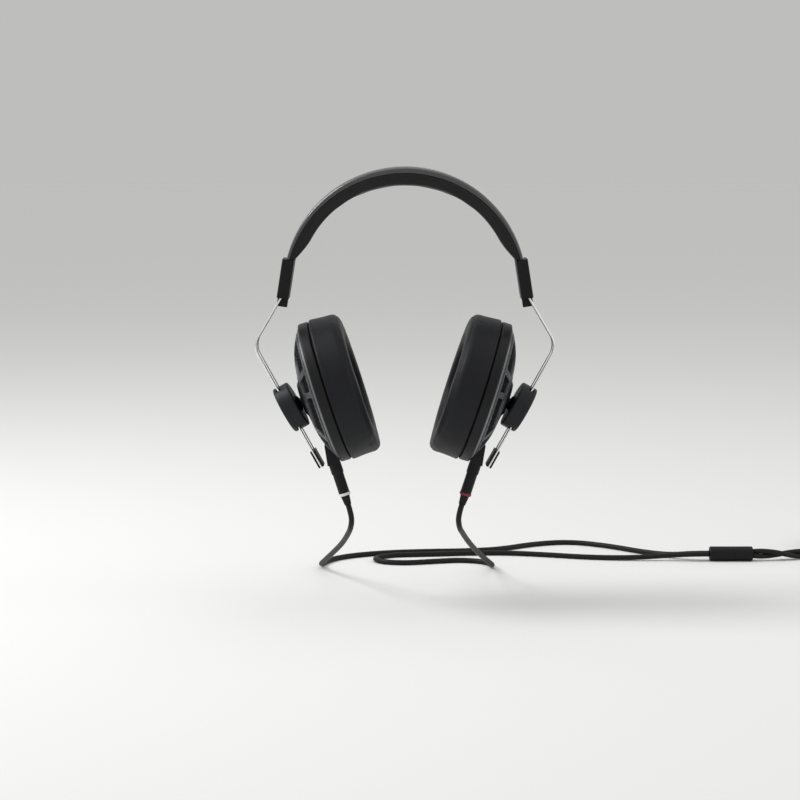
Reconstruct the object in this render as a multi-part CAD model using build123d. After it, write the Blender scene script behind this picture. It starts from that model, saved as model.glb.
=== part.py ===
from build123d import *
import math
import os

# Over-ear headphones with a sprung leather headband, twin hanger rods, sliding ball-jointed
# planar driver cups and a detachable two-leg cable.
# Millimetres. Origin: underside of the headband pad at the crown, where a stand or head holds
# it. +X is the wearer's right, +Y the wearer's front, +Z up. Each pair of pieces is built on
# the +X side and mirrored.

# ---- fits -----------------------------------------------------------------
RUNNING_FIT = 0.05      # radial clearance of a pin, rod or ball that moves in its seat
SEAT_FIT = 0.05         # clearance round a piece that is held in a pocket
SOFT_GAP = 0.3          # gap round a soft piece

# ---- headband --------------------------------------------------------------
PAD_INNER_RADIUS = 76.0     # underside of the pad
PAD_DEPTH = 7.9             # pad at the crown
SPRING_THICKNESS = 0.8
SPRING_WIDTH = 20.0
COVER_DEPTH = 4.2           # outer leather at the crown
COVER_OUTER_RADIUS = 85.7
CROWN_WIDTH = 38.0
BAND_END_WIDTH = 25.0
CROWN_FLAT = 25.0           # half of the stretch that keeps the full width
TAPER_END = 78.0            # half span where the band reaches its end width
END_TILT = 8.9              # end blocks from the vertical, degrees
PAD_END_ANGLE = 29.0        # where the pad starts to thin, degrees above the centre

# ---- end blocks ------------------------------------------------------------
BLOCK_LENGTH = 27.3
BLOCK_THICKNESS = 8.4
BLOCK_WIDTH = 26.0
BLOCK_BELOW_TANGENT = 16.5  # block's bottom below the point where the strip goes straight
BLOCK_ROUND = 1.2
STRIP_TAIL = 5.0            # straight tail of the strip inside the block
SCREW_HEIGHTS = (15.5, 22.5)    # above the block's bottom
SCREW_RADIUS = 1.0
SCREW_HEAD_RADIUS = 1.9
SCREW_HEAD_DEPTH = 1.2
SCREW_LENGTH = 6.8

# ---- hanger rods -----------------------------------------------------------
ROD_RADIUS = 0.8
ROD_SPACING = 14.0
ROD_EXIT_OFFSET = 1.1       # rods from the block's middle plane, where they leave it
ROD_LEG_TILT = 30.5         # upper leg from the vertical, degrees, outward going down
SLIDE_TILT = 29.0           # lower leg from the vertical, degrees, inward going down
ROD_BEND_RADIUS = 14.2
LEG_TO_CORNER = 39.4        # block to the corner of the bend
CORNER_TO_SLIDER = 51.3     # corner of the bend to the middle of the slider
SLIDER_TO_ROD_END = 47.3
ROD_IN_HOLDER = 6.5
HOLDER_WIDTH = 18.6
HOLDER_HEIGHT = 9.0
HOLDER_THICKNESS = 6.2
LUG_WIDTH = 10.0
LUG_HEIGHT = 6.3
LUG_THICKNESS = 7.2
STOP_LENGTH = 13.0
STOP_THICKNESS = 4.0
STOP_WIDTH = 14.6

# ---- slider ----------------------------------------------------------------
SLIDER_RADIUS = 17.0
SLIDER_THICKNESS = 11.6
ROD_BELOW_OUTER_FACE = 4.2
BUSH_RADIUS = 2.0
BUSH_LENGTH = 5.0
BUSH_OFFSET = 11.0          # middle of a bush from the slider's middle
SLIDER_ROUND = 1.2

# ---- ball pivot ------------------------------------------------------------
BALL_RADIUS = 6.0
BALL_FLAT = 3.8             # flat on the ball, below its centre
STEM_RADIUS = 2.6
STEM_FLARE_RADIUS = 6.8
STEM_COLLAR_RADIUS = 4.0
STEM_FLARE_DEPTH = 2.0
STEM_SEAT_DEPTH = 5.0
BALL_TO_SLIDER_FACE = 10.43
BALL_ABOVE_BAFFLE = 5.88
LINER_WALL = 0.95
LINER_LOW = -3.9            # the liner's ends, from the ball's centre
LINER_HIGH = 2.3            # low enough to clear the socket's lip at full tilt
SOCKET_RADIUS = 10.0
SOCKET_BOTTOM = 1.9         # above the baffle's middle plane
SOCKET_FLANGE_RADIUS = 16.5
SOCKET_FLANGE_DEPTH = 1.0
SOCKET_NECK_RADIUS = 14.0   # at the flange
SOCKET_CROWN_RADIUS = 11.0  # at its top, narrower so that the cup can tilt
SOCKET_TOP = 13.0
SOCKET_LIP = 4.3            # above the ball's centre
SOCKET_LIP_RADIUS = 4.9
SOCKET_MOUTH_RADIUS = 6.2

# ---- cup -------------------------------------------------------------------
CUP_TILT = 17.8             # cup axis below the horizontal, degrees
FLANGE_RADIUS = 47.65       # baffle's bright flange
FLANGE_LOW, FLANGE_HIGH = -0.4, 0.8
BAFFLE_HOLE_RADIUS = 38.0
CAGE_RADIUS = 45.5
CAGE_RIM_WIDTH = 5.0
CAGE_RIM_TOP = 2.0
CAGE_SHOULDER = (36.0, 6.7)     # a point on the dome: radius, height
CAGE_TOP_RADIUS = 23.0
CAGE_TOP = 10.0
CAGE_WALL = 1.8
SPOKE_PAIRS = 5
SPOKE_SPREAD = 11.4         # each spoke from the middle of its pair, degrees
SPOKE_WIDTH = 4.0
WINDOW_INNER_RADIUS = 31.0
WINDOW_OUTER_RADIUS = 44.2
WINDOW_SILL = 1.4           # floor of a window, in the rim
WINDOW_ROUND = 1.2
GRILLE_GAP = 0.1
GRILLE_THICKNESS = 0.6
RING_RADIUS = 51.0          # dark housing ring
RING_INNER_RADIUS = 42.0
RING_BACK = -7.9
RING_ROUND = 1.5
PLATE_THICKNESS = 3.25      # magnet plates
FRAME_THICKNESS = 1.0       # diaphragm frame
FRAME_WIDTH = 4.0
FILM_THICKNESS = 0.2
SLOT_WIDTH = 4.0
SLOT_PITCH = 7.0
SLOT_COUNT = 9
PAD_RING_OUTER = 48.0
PAD_RING_INNER = 36.0
PAD_RING_THICKNESS = 2.0
EAR_PAD_RADIUS = 52.0
EAR_PAD_HOLE_RADIUS = 31.0
EAR_PAD_FRONT = -31.6
EAR_PAD_ROUND = 7.0
CUP_SCREWS = 5
CUP_SCREW_CIRCLE = 43.9
CUP_SCREW_RADIUS = 0.8
CUP_SCREW_HEAD = 1.5
CUP_SCREW_HEAD_DEPTH = 1.2
CUP_SCREW_TOP = 1.2         # tips, in the cage's rim below the windows

# ---- jack and plug ---------------------------------------------------------
PLUG_AXIS_HEIGHT = 5.0      # plug axis above the baffle's middle plane
JACK_TOP = -36.0            # the jack housing, down the cup from its centre
JACK_BOTTOM = -50.6
JACK_WIDTH = 15.0
JACK_LOW = FLANGE_HIGH
JACK_TOP_HEIGHT = 7.6
JACK_BOTTOM_HEIGHT = 9.8
PIN_RADIUS = 1.75
PIN_IN_SOCKET = 12.0
SOCKET_SLEEVE_RADIUS = 3.0
COLLAR_RADIUS = 4.4
COLLAR_LENGTH = 7.7
BARREL_RADIUS = 3.9
BARREL_LENGTH = 16.7
RELIEF_LENGTH = 7.0
RELIEF_BASE_RADIUS = 3.2
RELIEF_TIP_RADIUS = 2.4
PIN_IN_BARREL = 11.0

# ---- cable -----------------------------------------------------------------
FLOOR = -298.0              # the surface that the cable lies on
LEAD_RADIUS = 2.0
MAIN_RADIUS = 4.0           # over the twisted pair
SPLITTER_RADIUS = 5.7
SPLITTER_LENGTH = 33.8
SPLITTER_START = Vector(239.4, 163.0, FLOOR + SPLITTER_RADIUS)
LEAD_SPACING = 4.4          # the two leads side by side in the splitter
COIL_CENTRE = Vector(378.0, 220.0, FLOOR)
COIL_MEAN_RADIUS = 42.0
COIL_TURNS = 3.25
SOURCE_BARREL_RADIUS = 4.0
SOURCE_BARREL_LENGTH = 24.0
SOURCE_RELIEF_LENGTH = 10.0
SOURCE_PIN_RADIUS = 1.75
SOURCE_PIN_LENGTH = 14.0
SHORTER_RUN_SHARE = 0.45

# ---- places that follow from the sizes ---------------------------------------
ARCH_CENTRE_Z = -PAD_INNER_RADIUS
STRIP_INNER_RADIUS = PAD_INNER_RADIUS + PAD_DEPTH
STRIP_OUTER_RADIUS = STRIP_INNER_RADIUS + SPRING_THICKNESS
STRIP_RADIUS = (STRIP_INNER_RADIUS + STRIP_OUTER_RADIUS) / 2
COVER_CENTRE_Z = ARCH_CENTRE_Z + STRIP_OUTER_RADIUS + COVER_DEPTH - COVER_OUTER_RADIUS


def heading(tilt, downward=True):
    """Unit vector in the XZ plane, tilted outward from the vertical by tilt degrees."""
    angle = math.radians(tilt)
    return Vector(math.sin(angle), 0, -math.cos(angle) if downward else math.cos(angle))


def side_plane(origin, normal_tilt):
    """Plane whose normal points outward, normal_tilt degrees below the horizontal.

    Its local x runs along +Y and its local y up the piece.
    """
    angle = math.radians(normal_tilt)
    normal = (math.cos(angle), 0, -math.sin(angle))
    return Plane(origin=origin, x_dir=(0, 1, 0), z_dir=normal)


end_angle = math.radians(END_TILT)
tangent_point = Vector(
    STRIP_RADIUS * math.cos(end_angle), 0, ARCH_CENTRE_Z + STRIP_RADIUS * math.sin(end_angle)
)
block_bottom = tangent_point + heading(END_TILT) * BLOCK_BELOW_TANGENT
BLOCK = side_plane(block_bottom, -END_TILT)
block_outward = BLOCK.z_dir

rod_exit = block_bottom + block_outward * ROD_EXIT_OFFSET
leg_heading = heading(ROD_LEG_TILT)
slide_heading = heading(-SLIDE_TILT)
rod_root = rod_exit - leg_heading * ROD_IN_HOLDER
rod_corner = rod_exit + leg_heading * LEG_TO_CORNER
slider_middle = rod_corner + slide_heading * CORNER_TO_SLIDER
rod_end = slider_middle + slide_heading * SLIDER_TO_ROD_END

slider_outward = side_plane((0, 0, 0), SLIDE_TILT).z_dir
ROD_ABOVE_INNER_FACE = SLIDER_THICKNESS - ROD_BELOW_OUTER_FACE
slider_inner_face = slider_middle - slider_outward * ROD_ABOVE_INNER_FACE
SLIDER = side_plane(slider_inner_face, SLIDE_TILT)
ball_centre = slider_inner_face - slider_outward * BALL_TO_SLIDER_FACE

cup_outward = side_plane((0, 0, 0), CUP_TILT).z_dir
CUP = side_plane(ball_centre - cup_outward * BALL_ABOVE_BAFFLE, CUP_TILT)


# ---- small helpers -------------------------------------------------------------
def disc(radius, low, high):
    """Cylinder on the local z axis between two heights."""
    base = (Align.CENTER, Align.CENTER, Align.MIN)
    return Pos(0, 0, low) * Cylinder(radius, high - low, align=base)


def ring(outer, inner, low, high):
    """Flat ring on the local z axis between two heights."""
    return disc(outer, low, high) - disc(inner, low - 1, high + 1)


def cone(low_radius, high_radius, low, high):
    """Frustum on the local z axis between two heights."""
    base = (Align.CENTER, Align.CENTER, Align.MIN)
    return Pos(0, 0, low) * Cone(low_radius, high_radius, high - low, align=base)


def block_box(half_x, y_range, z_range):
    """Box from its half width and its ranges along the local y and z axes."""
    size_y, size_z = y_range[1] - y_range[0], z_range[1] - z_range[0]
    return Pos(0, sum(y_range) / 2, sum(z_range) / 2) * Box(2 * half_x, size_y, size_z)


def spun(points_and_edges):
    """Solid of revolution about the local z axis from a profile drawn as radius, height."""
    return revolve(Plane.XZ * make_face(points_and_edges), Axis.Z)


def turned(radius, start, end, end_radius=None):
    """Cylinder or frustum between two points."""
    axis = end - start
    plane = Plane(origin=start, z_dir=axis)
    if end_radius is None:
        return plane * disc(radius, 0, axis.length)
    return plane * cone(radius, end_radius, 0, axis.length)


def flipped(shape):
    """The same piece on the -X side."""
    return mirror(shape, about=Plane.YZ)


def save(name, shape):
    """Write one node."""
    solids = shape.solids()
    shape = solids[0] if len(solids) == 1 else Compound(children=list(solids))
    export_step(shape, f"parts/{name}.step")


def save_pair(name, shape):
    """Write a piece for the right side, and its mirror image for the left."""
    save(f"right_{name}", shape)
    save(f"left_{name}", flipped(shape))


# ---- headband ----------------------------------------------------------------
def strip_section(inner, outer, tail):
    """Side view of a strip that follows the arch and goes straight into both end blocks."""
    def start(radius, side):
        return Vector(
            side * radius * math.cos(end_angle), ARCH_CENTRE_Z + radius * math.sin(end_angle)
        )

    def below(point, side):
        return point + Vector(side * math.sin(end_angle), -math.cos(end_angle)) * tail

    edges = [
        ThreePointArc(start(outer, 1), (0, ARCH_CENTRE_Z + outer), start(outer, -1)),
        ThreePointArc(start(inner, 1), (0, ARCH_CENTRE_Z + inner), start(inner, -1)),
    ]
    for side in (1, -1):
        inner_start, outer_start = start(inner, side), start(outer, side)
        edges += Polyline(
            outer_start, below(outer_start, side), below(inner_start, side), inner_start
        ).edges()
    return make_face(edges)


def extrude_width(section, width):
    """Extrude a side view evenly to both sides of the middle plane."""
    return extrude(Plane.XZ * section, amount=width / 2, both=True)


def band_plan():
    """Top view of the soft headband, full width at the crown and narrower at its ends."""
    crown, end = CROWN_WIDTH / 2, BAND_END_WIDTH / 2
    reach = PAD_INNER_RADIUS + PAD_DEPTH + BLOCK_THICKNESS
    half = [(-reach, end), (-TAPER_END, end), (-CROWN_FLAT, crown)]
    half += [(-x, y) for x, y in reversed(half)]
    outline = half + [(x, -y) for x, y in reversed(half)]
    deep = 2 * reach
    return extrude(make_face(Polyline(*outline, close=True)), amount=deep, both=True)


def above_blocks():
    """Region of the side view above the top faces of both end blocks."""
    top = BLOCK.from_local_coords(Vector(0, BLOCK_LENGTH, 0))
    across = Vector(block_outward.X, block_outward.Z) * STRIP_RADIUS / 2
    middle = Vector(top.X, top.Z)
    right = [middle - across, middle + across, Vector(2 * STRIP_RADIUS, STRIP_RADIUS)]
    left = [Vector(-p.X, p.Y) for p in reversed(right)]
    return make_face(Polyline(*right, *left, close=True))


def pad_hollow():
    """Side view of what lies inside the pad's underside, down past the end blocks."""
    angle = math.radians(PAD_END_ANGLE)
    corner = BLOCK.from_local_coords(Vector(0, BLOCK_LENGTH, -BLOCK_THICKNESS / 2))
    corner = Vector(corner.X, corner.Z)
    start = Vector(
        PAD_INNER_RADIUS * math.cos(angle), ARCH_CENTRE_Z + PAD_INNER_RADIUS * math.sin(angle)
    )
    tangent = Vector(math.sin(angle), -math.cos(angle))
    right = TangentArc(start, corner, tangent=tangent)
    crown = ThreePointArc(start, (0, 0), (-start.X, start.Y))
    left = TangentArc(
        Vector(-start.X, start.Y), Vector(-corner.X, corner.Y), tangent=Vector(-tangent.X, tangent.Y)
    )
    low = corner.Y - BLOCK_LENGTH
    sill = Polyline(corner, (corner.X, low), (-corner.X, low), (-corner.X, corner.Y))
    return make_face([right, crown, left] + list(sill.edges()))


def arch_disc(radius, centre_z):
    """Side view of everything inside a circle about the arch."""
    return Pos(0, centre_z) * Circle(radius)


def screw(length, head_depth, radius, head_radius):
    """Screw along the local z axis, its head's face at zero and its tip at length."""
    return disc(head_radius, 0, head_depth) + disc(radius, head_depth, length)


def make_headband():
    spring = extrude_width(
        strip_section(STRIP_INNER_RADIUS, STRIP_OUTER_RADIUS, STRIP_TAIL), SPRING_WIDTH
    )
    slot = extrude_width(
        strip_section(
            STRIP_INNER_RADIUS - SEAT_FIT, STRIP_OUTER_RADIUS + SEAT_FIT, STRIP_TAIL + SEAT_FIT
        ),
        SPRING_WIDTH + 2 * SEAT_FIT,
    )
    above, plan = above_blocks(), band_plan()
    cover = arch_disc(COVER_OUTER_RADIUS, COVER_CENTRE_Z) - arch_disc(
        STRIP_OUTER_RADIUS, ARCH_CENTRE_Z
    )
    pad = arch_disc(STRIP_INNER_RADIUS, ARCH_CENTRE_Z) - pad_hollow()
    cover_solid = extrude_width(cover & above, CROWN_WIDTH) & plan
    pad_solid = extrude_width(pad & above, CROWN_WIDTH) & plan

    block = block_box(
        BLOCK_WIDTH / 2, (0, BLOCK_LENGTH), (-BLOCK_THICKNESS / 2, BLOCK_THICKNESS / 2)
    )
    block = fillet(block.edges().filter_by(Axis.Y), BLOCK_ROUND)
    pocket = block_box(
        HOLDER_WIDTH / 2 + SEAT_FIT,
        (-1, HOLDER_HEIGHT + SEAT_FIT),
        (-HOLDER_THICKNESS / 2 - SEAT_FIT, HOLDER_THICKNESS / 2 + SEAT_FIT),
    )
    inner_face = -BLOCK_THICKNESS / 2
    screws, holes = [], []
    for height in SCREW_HEIGHTS:
        place = Pos(0, height, inner_face)
        screws.append(
            place * screw(SCREW_LENGTH, SCREW_HEAD_DEPTH, SCREW_RADIUS, SCREW_HEAD_RADIUS)
        )
        holes.append(
            place
            * screw(
                SCREW_LENGTH + SEAT_FIT,
                SCREW_HEAD_DEPTH + SEAT_FIT,
                SCREW_RADIUS + SEAT_FIT,
                SCREW_HEAD_RADIUS + SEAT_FIT,
            )
        )
    block = BLOCK * (block - pocket) - slot
    for hole in holes:
        block -= BLOCK * hole
        spring -= BLOCK * hole
        spring -= flipped(BLOCK * hole)
    fasteners = [BLOCK * piece for piece in screws]
    fasteners += [flipped(piece) for piece in fasteners]

    save("headband_spring", spring)
    save("headband_cover", cover_solid)
    save("headband_pad", pad_solid)
    save_pair("end_block", block)
    save("end_block_screws", Compound(children=[f.solid() for f in fasteners]))


# ---- hanger rods ---------------------------------------------------------------
def rod_solid(radius, side):
    """One bent rod, on the front or rear side of the middle plane."""
    shift = Vector(0, side * ROD_SPACING / 2, 0)
    path = FilletPolyline(
        rod_root + shift, rod_corner + shift, rod_end + shift, radius=ROD_BEND_RADIUS
    )
    section = Plane(origin=path @ 0, z_dir=path % 0) * Circle(radius)
    return sweep(section, path=path)


def make_hanger():
    holder = block_box(
        HOLDER_WIDTH / 2, (0, HOLDER_HEIGHT), (-HOLDER_THICKNESS / 2, HOLDER_THICKNESS / 2)
    )
    holder += block_box(LUG_WIDTH / 2, (-LUG_HEIGHT, 0), (-LUG_THICKNESS / 2, LUG_THICKNESS / 2))
    holder = BLOCK * holder
    stop_plane = side_plane(rod_end, SLIDE_TILT)
    stop = stop_plane * block_box(
        STOP_WIDTH / 2, (0, STOP_LENGTH), (-STOP_THICKNESS / 2, STOP_THICKNESS / 2)
    )
    rods = [rod_solid(ROD_RADIUS, side) for side in (1, -1)]
    for side in (1, -1):
        shift = Vector(0, side * ROD_SPACING / 2, 0)
        socket = turned(
            ROD_RADIUS + SEAT_FIT, rod_root - leg_heading * SEAT_FIT + shift, rod_corner + shift
        )
        groove = turned(
            ROD_RADIUS + SEAT_FIT, slider_middle + shift, rod_end + slide_heading + shift
        )
        holder -= socket
        stop -= groove
    save_pair("rod_holder", holder)
    save_pair("hanger_rods", Compound(children=[r.solid() for r in rods]))
    save_pair("end_stop", stop)


# ---- slider and pivot ------------------------------------------------------------
def make_slider():
    split = ROD_ABOVE_INNER_FACE
    body = disc(SLIDER_RADIUS, 0, split)
    body = fillet(body.edges().sort_by(Axis.Z)[0], SLIDER_ROUND)
    cap = disc(SLIDER_RADIUS, split, SLIDER_THICKNESS)
    cap = fillet(cap.edges().sort_by(Axis.Z)[-1], SLIDER_ROUND)
    bushes = []
    for side in (1, -1):
        along = Pos(side * ROD_SPACING / 2, 0, split) * Rot(90, 0, 0)
        channel = along * Cylinder(BUSH_RADIUS + SEAT_FIT / 2, 3 * SLIDER_RADIUS)
        body -= channel
        cap -= channel
        for end in (1, -1):
            bush = Pos(0, 0, end * BUSH_OFFSET) * (
                Cylinder(BUSH_RADIUS, BUSH_LENGTH)
                - Cylinder(ROD_RADIUS + RUNNING_FIT, 2 * BUSH_LENGTH)
            )
            bushes.append(SLIDER * along * bush)
    body -= disc(STEM_RADIUS + SEAT_FIT, -1, STEM_SEAT_DEPTH + SEAT_FIT)

    centre = -BALL_TO_SLIDER_FACE
    stud = Pos(0, 0, centre) * (Sphere(BALL_RADIUS) - disc(BALL_RADIUS + 1, -20, -BALL_FLAT))
    stud += disc(STEM_RADIUS, centre, STEM_SEAT_DEPTH)
    stud += cone(STEM_COLLAR_RADIUS, STEM_FLARE_RADIUS, -STEM_FLARE_DEPTH, 0)

    save_pair("slider_body", SLIDER * body)
    save_pair("slider_cap", SLIDER * cap)
    save_pair("slider_bushes", Compound(children=[b.solid() for b in bushes]))
    save_pair("pivot_stud", SLIDER * stud)


def make_pivot():
    inner = BALL_RADIUS + RUNNING_FIT
    outer = inner + LINER_WALL
    cavity = outer + RUNNING_FIT
    at_ball = Pos(0, 0, BALL_ABOVE_BAFFLE)
    zone = disc(2 * BALL_RADIUS, LINER_LOW, LINER_HIGH)
    liner = at_ball * ((Sphere(outer) - Sphere(inner)) & zone)

    neck_top = SOCKET_TOP
    flange_low = CAGE_TOP
    flange_high = flange_low + SOCKET_FLANGE_DEPTH
    socket = disc(SOCKET_RADIUS, SOCKET_BOTTOM, flange_low)
    socket += disc(SOCKET_FLANGE_RADIUS, flange_low, flange_high)
    socket += cone(SOCKET_NECK_RADIUS, SOCKET_CROWN_RADIUS, flange_high, neck_top)
    below_lip = disc(2 * BALL_RADIUS, -2 * BALL_RADIUS, SOCKET_LIP)
    socket -= at_ball * (Sphere(cavity) & below_lip)
    socket -= at_ball * cone(
        SOCKET_LIP_RADIUS, SOCKET_MOUTH_RADIUS, SOCKET_LIP - 0.01, neck_top - BALL_ABOVE_BAFFLE + 0.01
    )
    save_pair("pivot_liner", CUP * liner)
    save_pair("socket_ring", CUP * socket)


# ---- cup ------------------------------------------------------------------------
def cage_solid():
    """Domed cage: a flat rim, a curved wall and a flat top with a hole for the socket."""
    hub = SOCKET_RADIUS + SEAT_FIT
    shoulder_r, shoulder_z = CAGE_SHOULDER
    rim_inner = CAGE_RADIUS - CAGE_RIM_WIDTH
    under = CAGE_TOP - CAGE_WALL
    under_r = CAGE_TOP_RADIUS - CAGE_WALL / 3
    edges = list(
        Polyline(
            (under_r, under), (hub, under), (hub, CAGE_TOP), (CAGE_TOP_RADIUS, CAGE_TOP)
        ).edges()
    )
    edges.append(
        ThreePointArc((CAGE_TOP_RADIUS, CAGE_TOP), CAGE_SHOULDER, (CAGE_RADIUS, CAGE_RIM_TOP))
    )
    low_inner = CAGE_RIM_TOP - CAGE_WALL / 4
    edges += list(
        Polyline(
            (CAGE_RADIUS, CAGE_RIM_TOP),
            (CAGE_RADIUS, FLANGE_HIGH),
            (rim_inner, FLANGE_HIGH),
            (rim_inner, low_inner),
        ).edges()
    )
    edges.append(
        ThreePointArc(
            (rim_inner, low_inner),
            (shoulder_r - CAGE_WALL, shoulder_z - CAGE_WALL * 0.8),
            (under_r, under),
        )
    )
    return spun(edges)


def grille_solid():
    """Thin mesh dome just under the cage."""
    hub = SOCKET_RADIUS + SEAT_FIT
    shoulder_r, shoulder_z = CAGE_SHOULDER
    top = CAGE_TOP - CAGE_WALL - GRILLE_GAP
    outer_r = CAGE_RADIUS - CAGE_RIM_WIDTH - GRILLE_GAP
    middle = (shoulder_r - CAGE_WALL - GRILLE_GAP, shoulder_z - CAGE_WALL * 0.8 - GRILLE_GAP)
    start = (outer_r, FLANGE_HIGH + GRILLE_THICKNESS)
    turn_r = CAGE_TOP_RADIUS - CAGE_WALL / 3
    lower_middle = (middle[0], middle[1] - GRILLE_THICKNESS)
    edges = [ThreePointArc(start, middle, (turn_r, top))]
    edges += list(
        Polyline(
            (turn_r, top),
            (hub, top),
            (hub, top - GRILLE_THICKNESS),
            (turn_r, top - GRILLE_THICKNESS),
        ).edges()
    )
    edges.append(
        ThreePointArc((turn_r, top - GRILLE_THICKNESS), lower_middle, (outer_r, FLANGE_HIGH))
    )
    edges.append(Line((outer_r, FLANGE_HIGH), start))
    return spun(edges)


def windows():
    """Cutter for the openings between the cage's spokes."""
    pattern = Circle(WINDOW_OUTER_RADIUS) - Circle(WINDOW_INNER_RADIUS)
    for pair in range(SPOKE_PAIRS):
        middle = 90 + 360 * pair / SPOKE_PAIRS
        for side in (1, -1):
            spoke = Rectangle(
                2 * WINDOW_OUTER_RADIUS, SPOKE_WIDTH, align=(Align.MIN, Align.CENTER)
            )
            pattern -= Rot(0, 0, middle + side * SPOKE_SPREAD) * spoke
    pattern = fillet(pattern.vertices(), WINDOW_ROUND)
    return extrude(Pos(0, 0, WINDOW_SILL) * pattern, amount=CAGE_TOP)


def jack_outline(grow, depth):
    """The jack housing's block, grown sideways and downward for the notch it fits."""
    low, high = JACK_LOW - depth, (JACK_TOP_HEIGHT, JACK_BOTTOM_HEIGHT)
    top, bottom = JACK_TOP + grow, JACK_BOTTOM - grow
    points = [(top, low), (bottom, low), (bottom, high[1] + grow), (top, high[0] + grow)]
    side_view = make_face(Polyline(*points, close=True))
    return extrude(Plane.YZ * side_view, amount=JACK_WIDTH / 2 + grow, both=True)


def magnet_plate(high):
    """Round plate with a row of straight sound slots."""
    radius = RING_INNER_RADIUS - SEAT_FIT
    plate = disc(radius, high - PLATE_THICKNESS, high)
    reach = BAFFLE_HOLE_RADIUS - SLOT_WIDTH
    for index in range(SLOT_COUNT):
        across = (index - (SLOT_COUNT - 1) / 2) * SLOT_PITCH
        length = 2 * math.sqrt(reach**2 - across**2)
        slot = Pos(across, 0, high + 1) * Rot(0, 0, 90) * SlotOverall(length, SLOT_WIDTH)
        plate -= extrude(slot, amount=-PLATE_THICKNESS - 2)
    return plate


def screw_places():
    """Places of the cup screws round the housing ring."""
    return [
        Rot(0, 0, 90 + 360 * index / CUP_SCREWS) * Pos(CUP_SCREW_CIRCLE, 0, RING_BACK)
        for index in range(CUP_SCREWS)
    ]


def make_cup():
    notch = jack_outline(SEAT_FIT, 1)
    hole = screw(
        CUP_SCREW_TOP - RING_BACK + SEAT_FIT,
        CUP_SCREW_HEAD_DEPTH + SEAT_FIT,
        CUP_SCREW_RADIUS + SEAT_FIT,
        CUP_SCREW_HEAD + SEAT_FIT,
    )
    cage = cage_solid() - windows() - notch
    grille = grille_solid() - notch
    baffle = ring(FLANGE_RADIUS, BAFFLE_HOLE_RADIUS, FLANGE_LOW, FLANGE_HIGH)
    housing = disc(RING_RADIUS, RING_BACK, FLANGE_LOW)
    housing = fillet(housing.edges(), RING_ROUND) - disc(RING_INNER_RADIUS, RING_BACK - 1, 1)
    screws = []
    for place in screw_places():
        cage -= place * hole
        baffle -= place * hole
        housing -= place * hole
        screws.append(
            CUP
            * place
            * screw(
                CUP_SCREW_TOP - RING_BACK, CUP_SCREW_HEAD_DEPTH, CUP_SCREW_RADIUS, CUP_SCREW_HEAD
            )
        )

    frame_high = FLANGE_LOW - PLATE_THICKNESS
    frame_low = frame_high - FRAME_THICKNESS
    frame_radius = RING_INNER_RADIUS - SEAT_FIT
    frame = ring(frame_radius, frame_radius - FRAME_WIDTH, frame_low, frame_high)
    film_low = (frame_low + frame_high - FILM_THICKNESS) / 2
    frame += disc(frame_radius - FRAME_WIDTH / 2, film_low, film_low + FILM_THICKNESS)

    ring_front = RING_BACK - PAD_RING_THICKNESS
    pad_back = RING_BACK - SOFT_GAP
    section = make_face(
        Polyline(
            (EAR_PAD_HOLE_RADIUS, pad_back),
            (EAR_PAD_RADIUS, pad_back),
            (EAR_PAD_RADIUS, EAR_PAD_FRONT),
            (EAR_PAD_HOLE_RADIUS, EAR_PAD_FRONT),
            close=True,
        )
    )
    section = fillet(section.vertices().group_by(Axis.Y)[0], EAR_PAD_ROUND)
    ear_pad = revolve(Plane.XZ * section, Axis.Z)
    ear_pad -= ring(
        PAD_RING_OUTER + SOFT_GAP,
        PAD_RING_INNER - SOFT_GAP,
        ring_front - SOFT_GAP,
        RING_BACK,
    )

    save_pair("cage", CUP * cage)
    save_pair("grille", CUP * grille)
    save_pair("baffle", CUP * baffle)
    save_pair("housing_ring", CUP * housing)
    save_pair("outer_magnet_plate", CUP * magnet_plate(FLANGE_LOW))
    save_pair("diaphragm", CUP * frame)
    save_pair("inner_magnet_plate", CUP * magnet_plate(frame_low))
    save_pair("cup_screws", Compound(children=[s.solid() for s in screws]))
    save_pair("pad_ring", CUP * ring(PAD_RING_OUTER, PAD_RING_INNER, ring_front, RING_BACK))
    save_pair("ear_pad", CUP * ear_pad)


# ---- jack and plug ----------------------------------------------------------------
def on_plug_axis(y):
    """A point on the plug's axis, y up the cup from its centre."""
    return Vector(0, y, PLUG_AXIS_HEIGHT)


BARREL_END = JACK_BOTTOM - COLLAR_LENGTH - BARREL_LENGTH
RELIEF_END = BARREL_END - RELIEF_LENGTH


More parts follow.
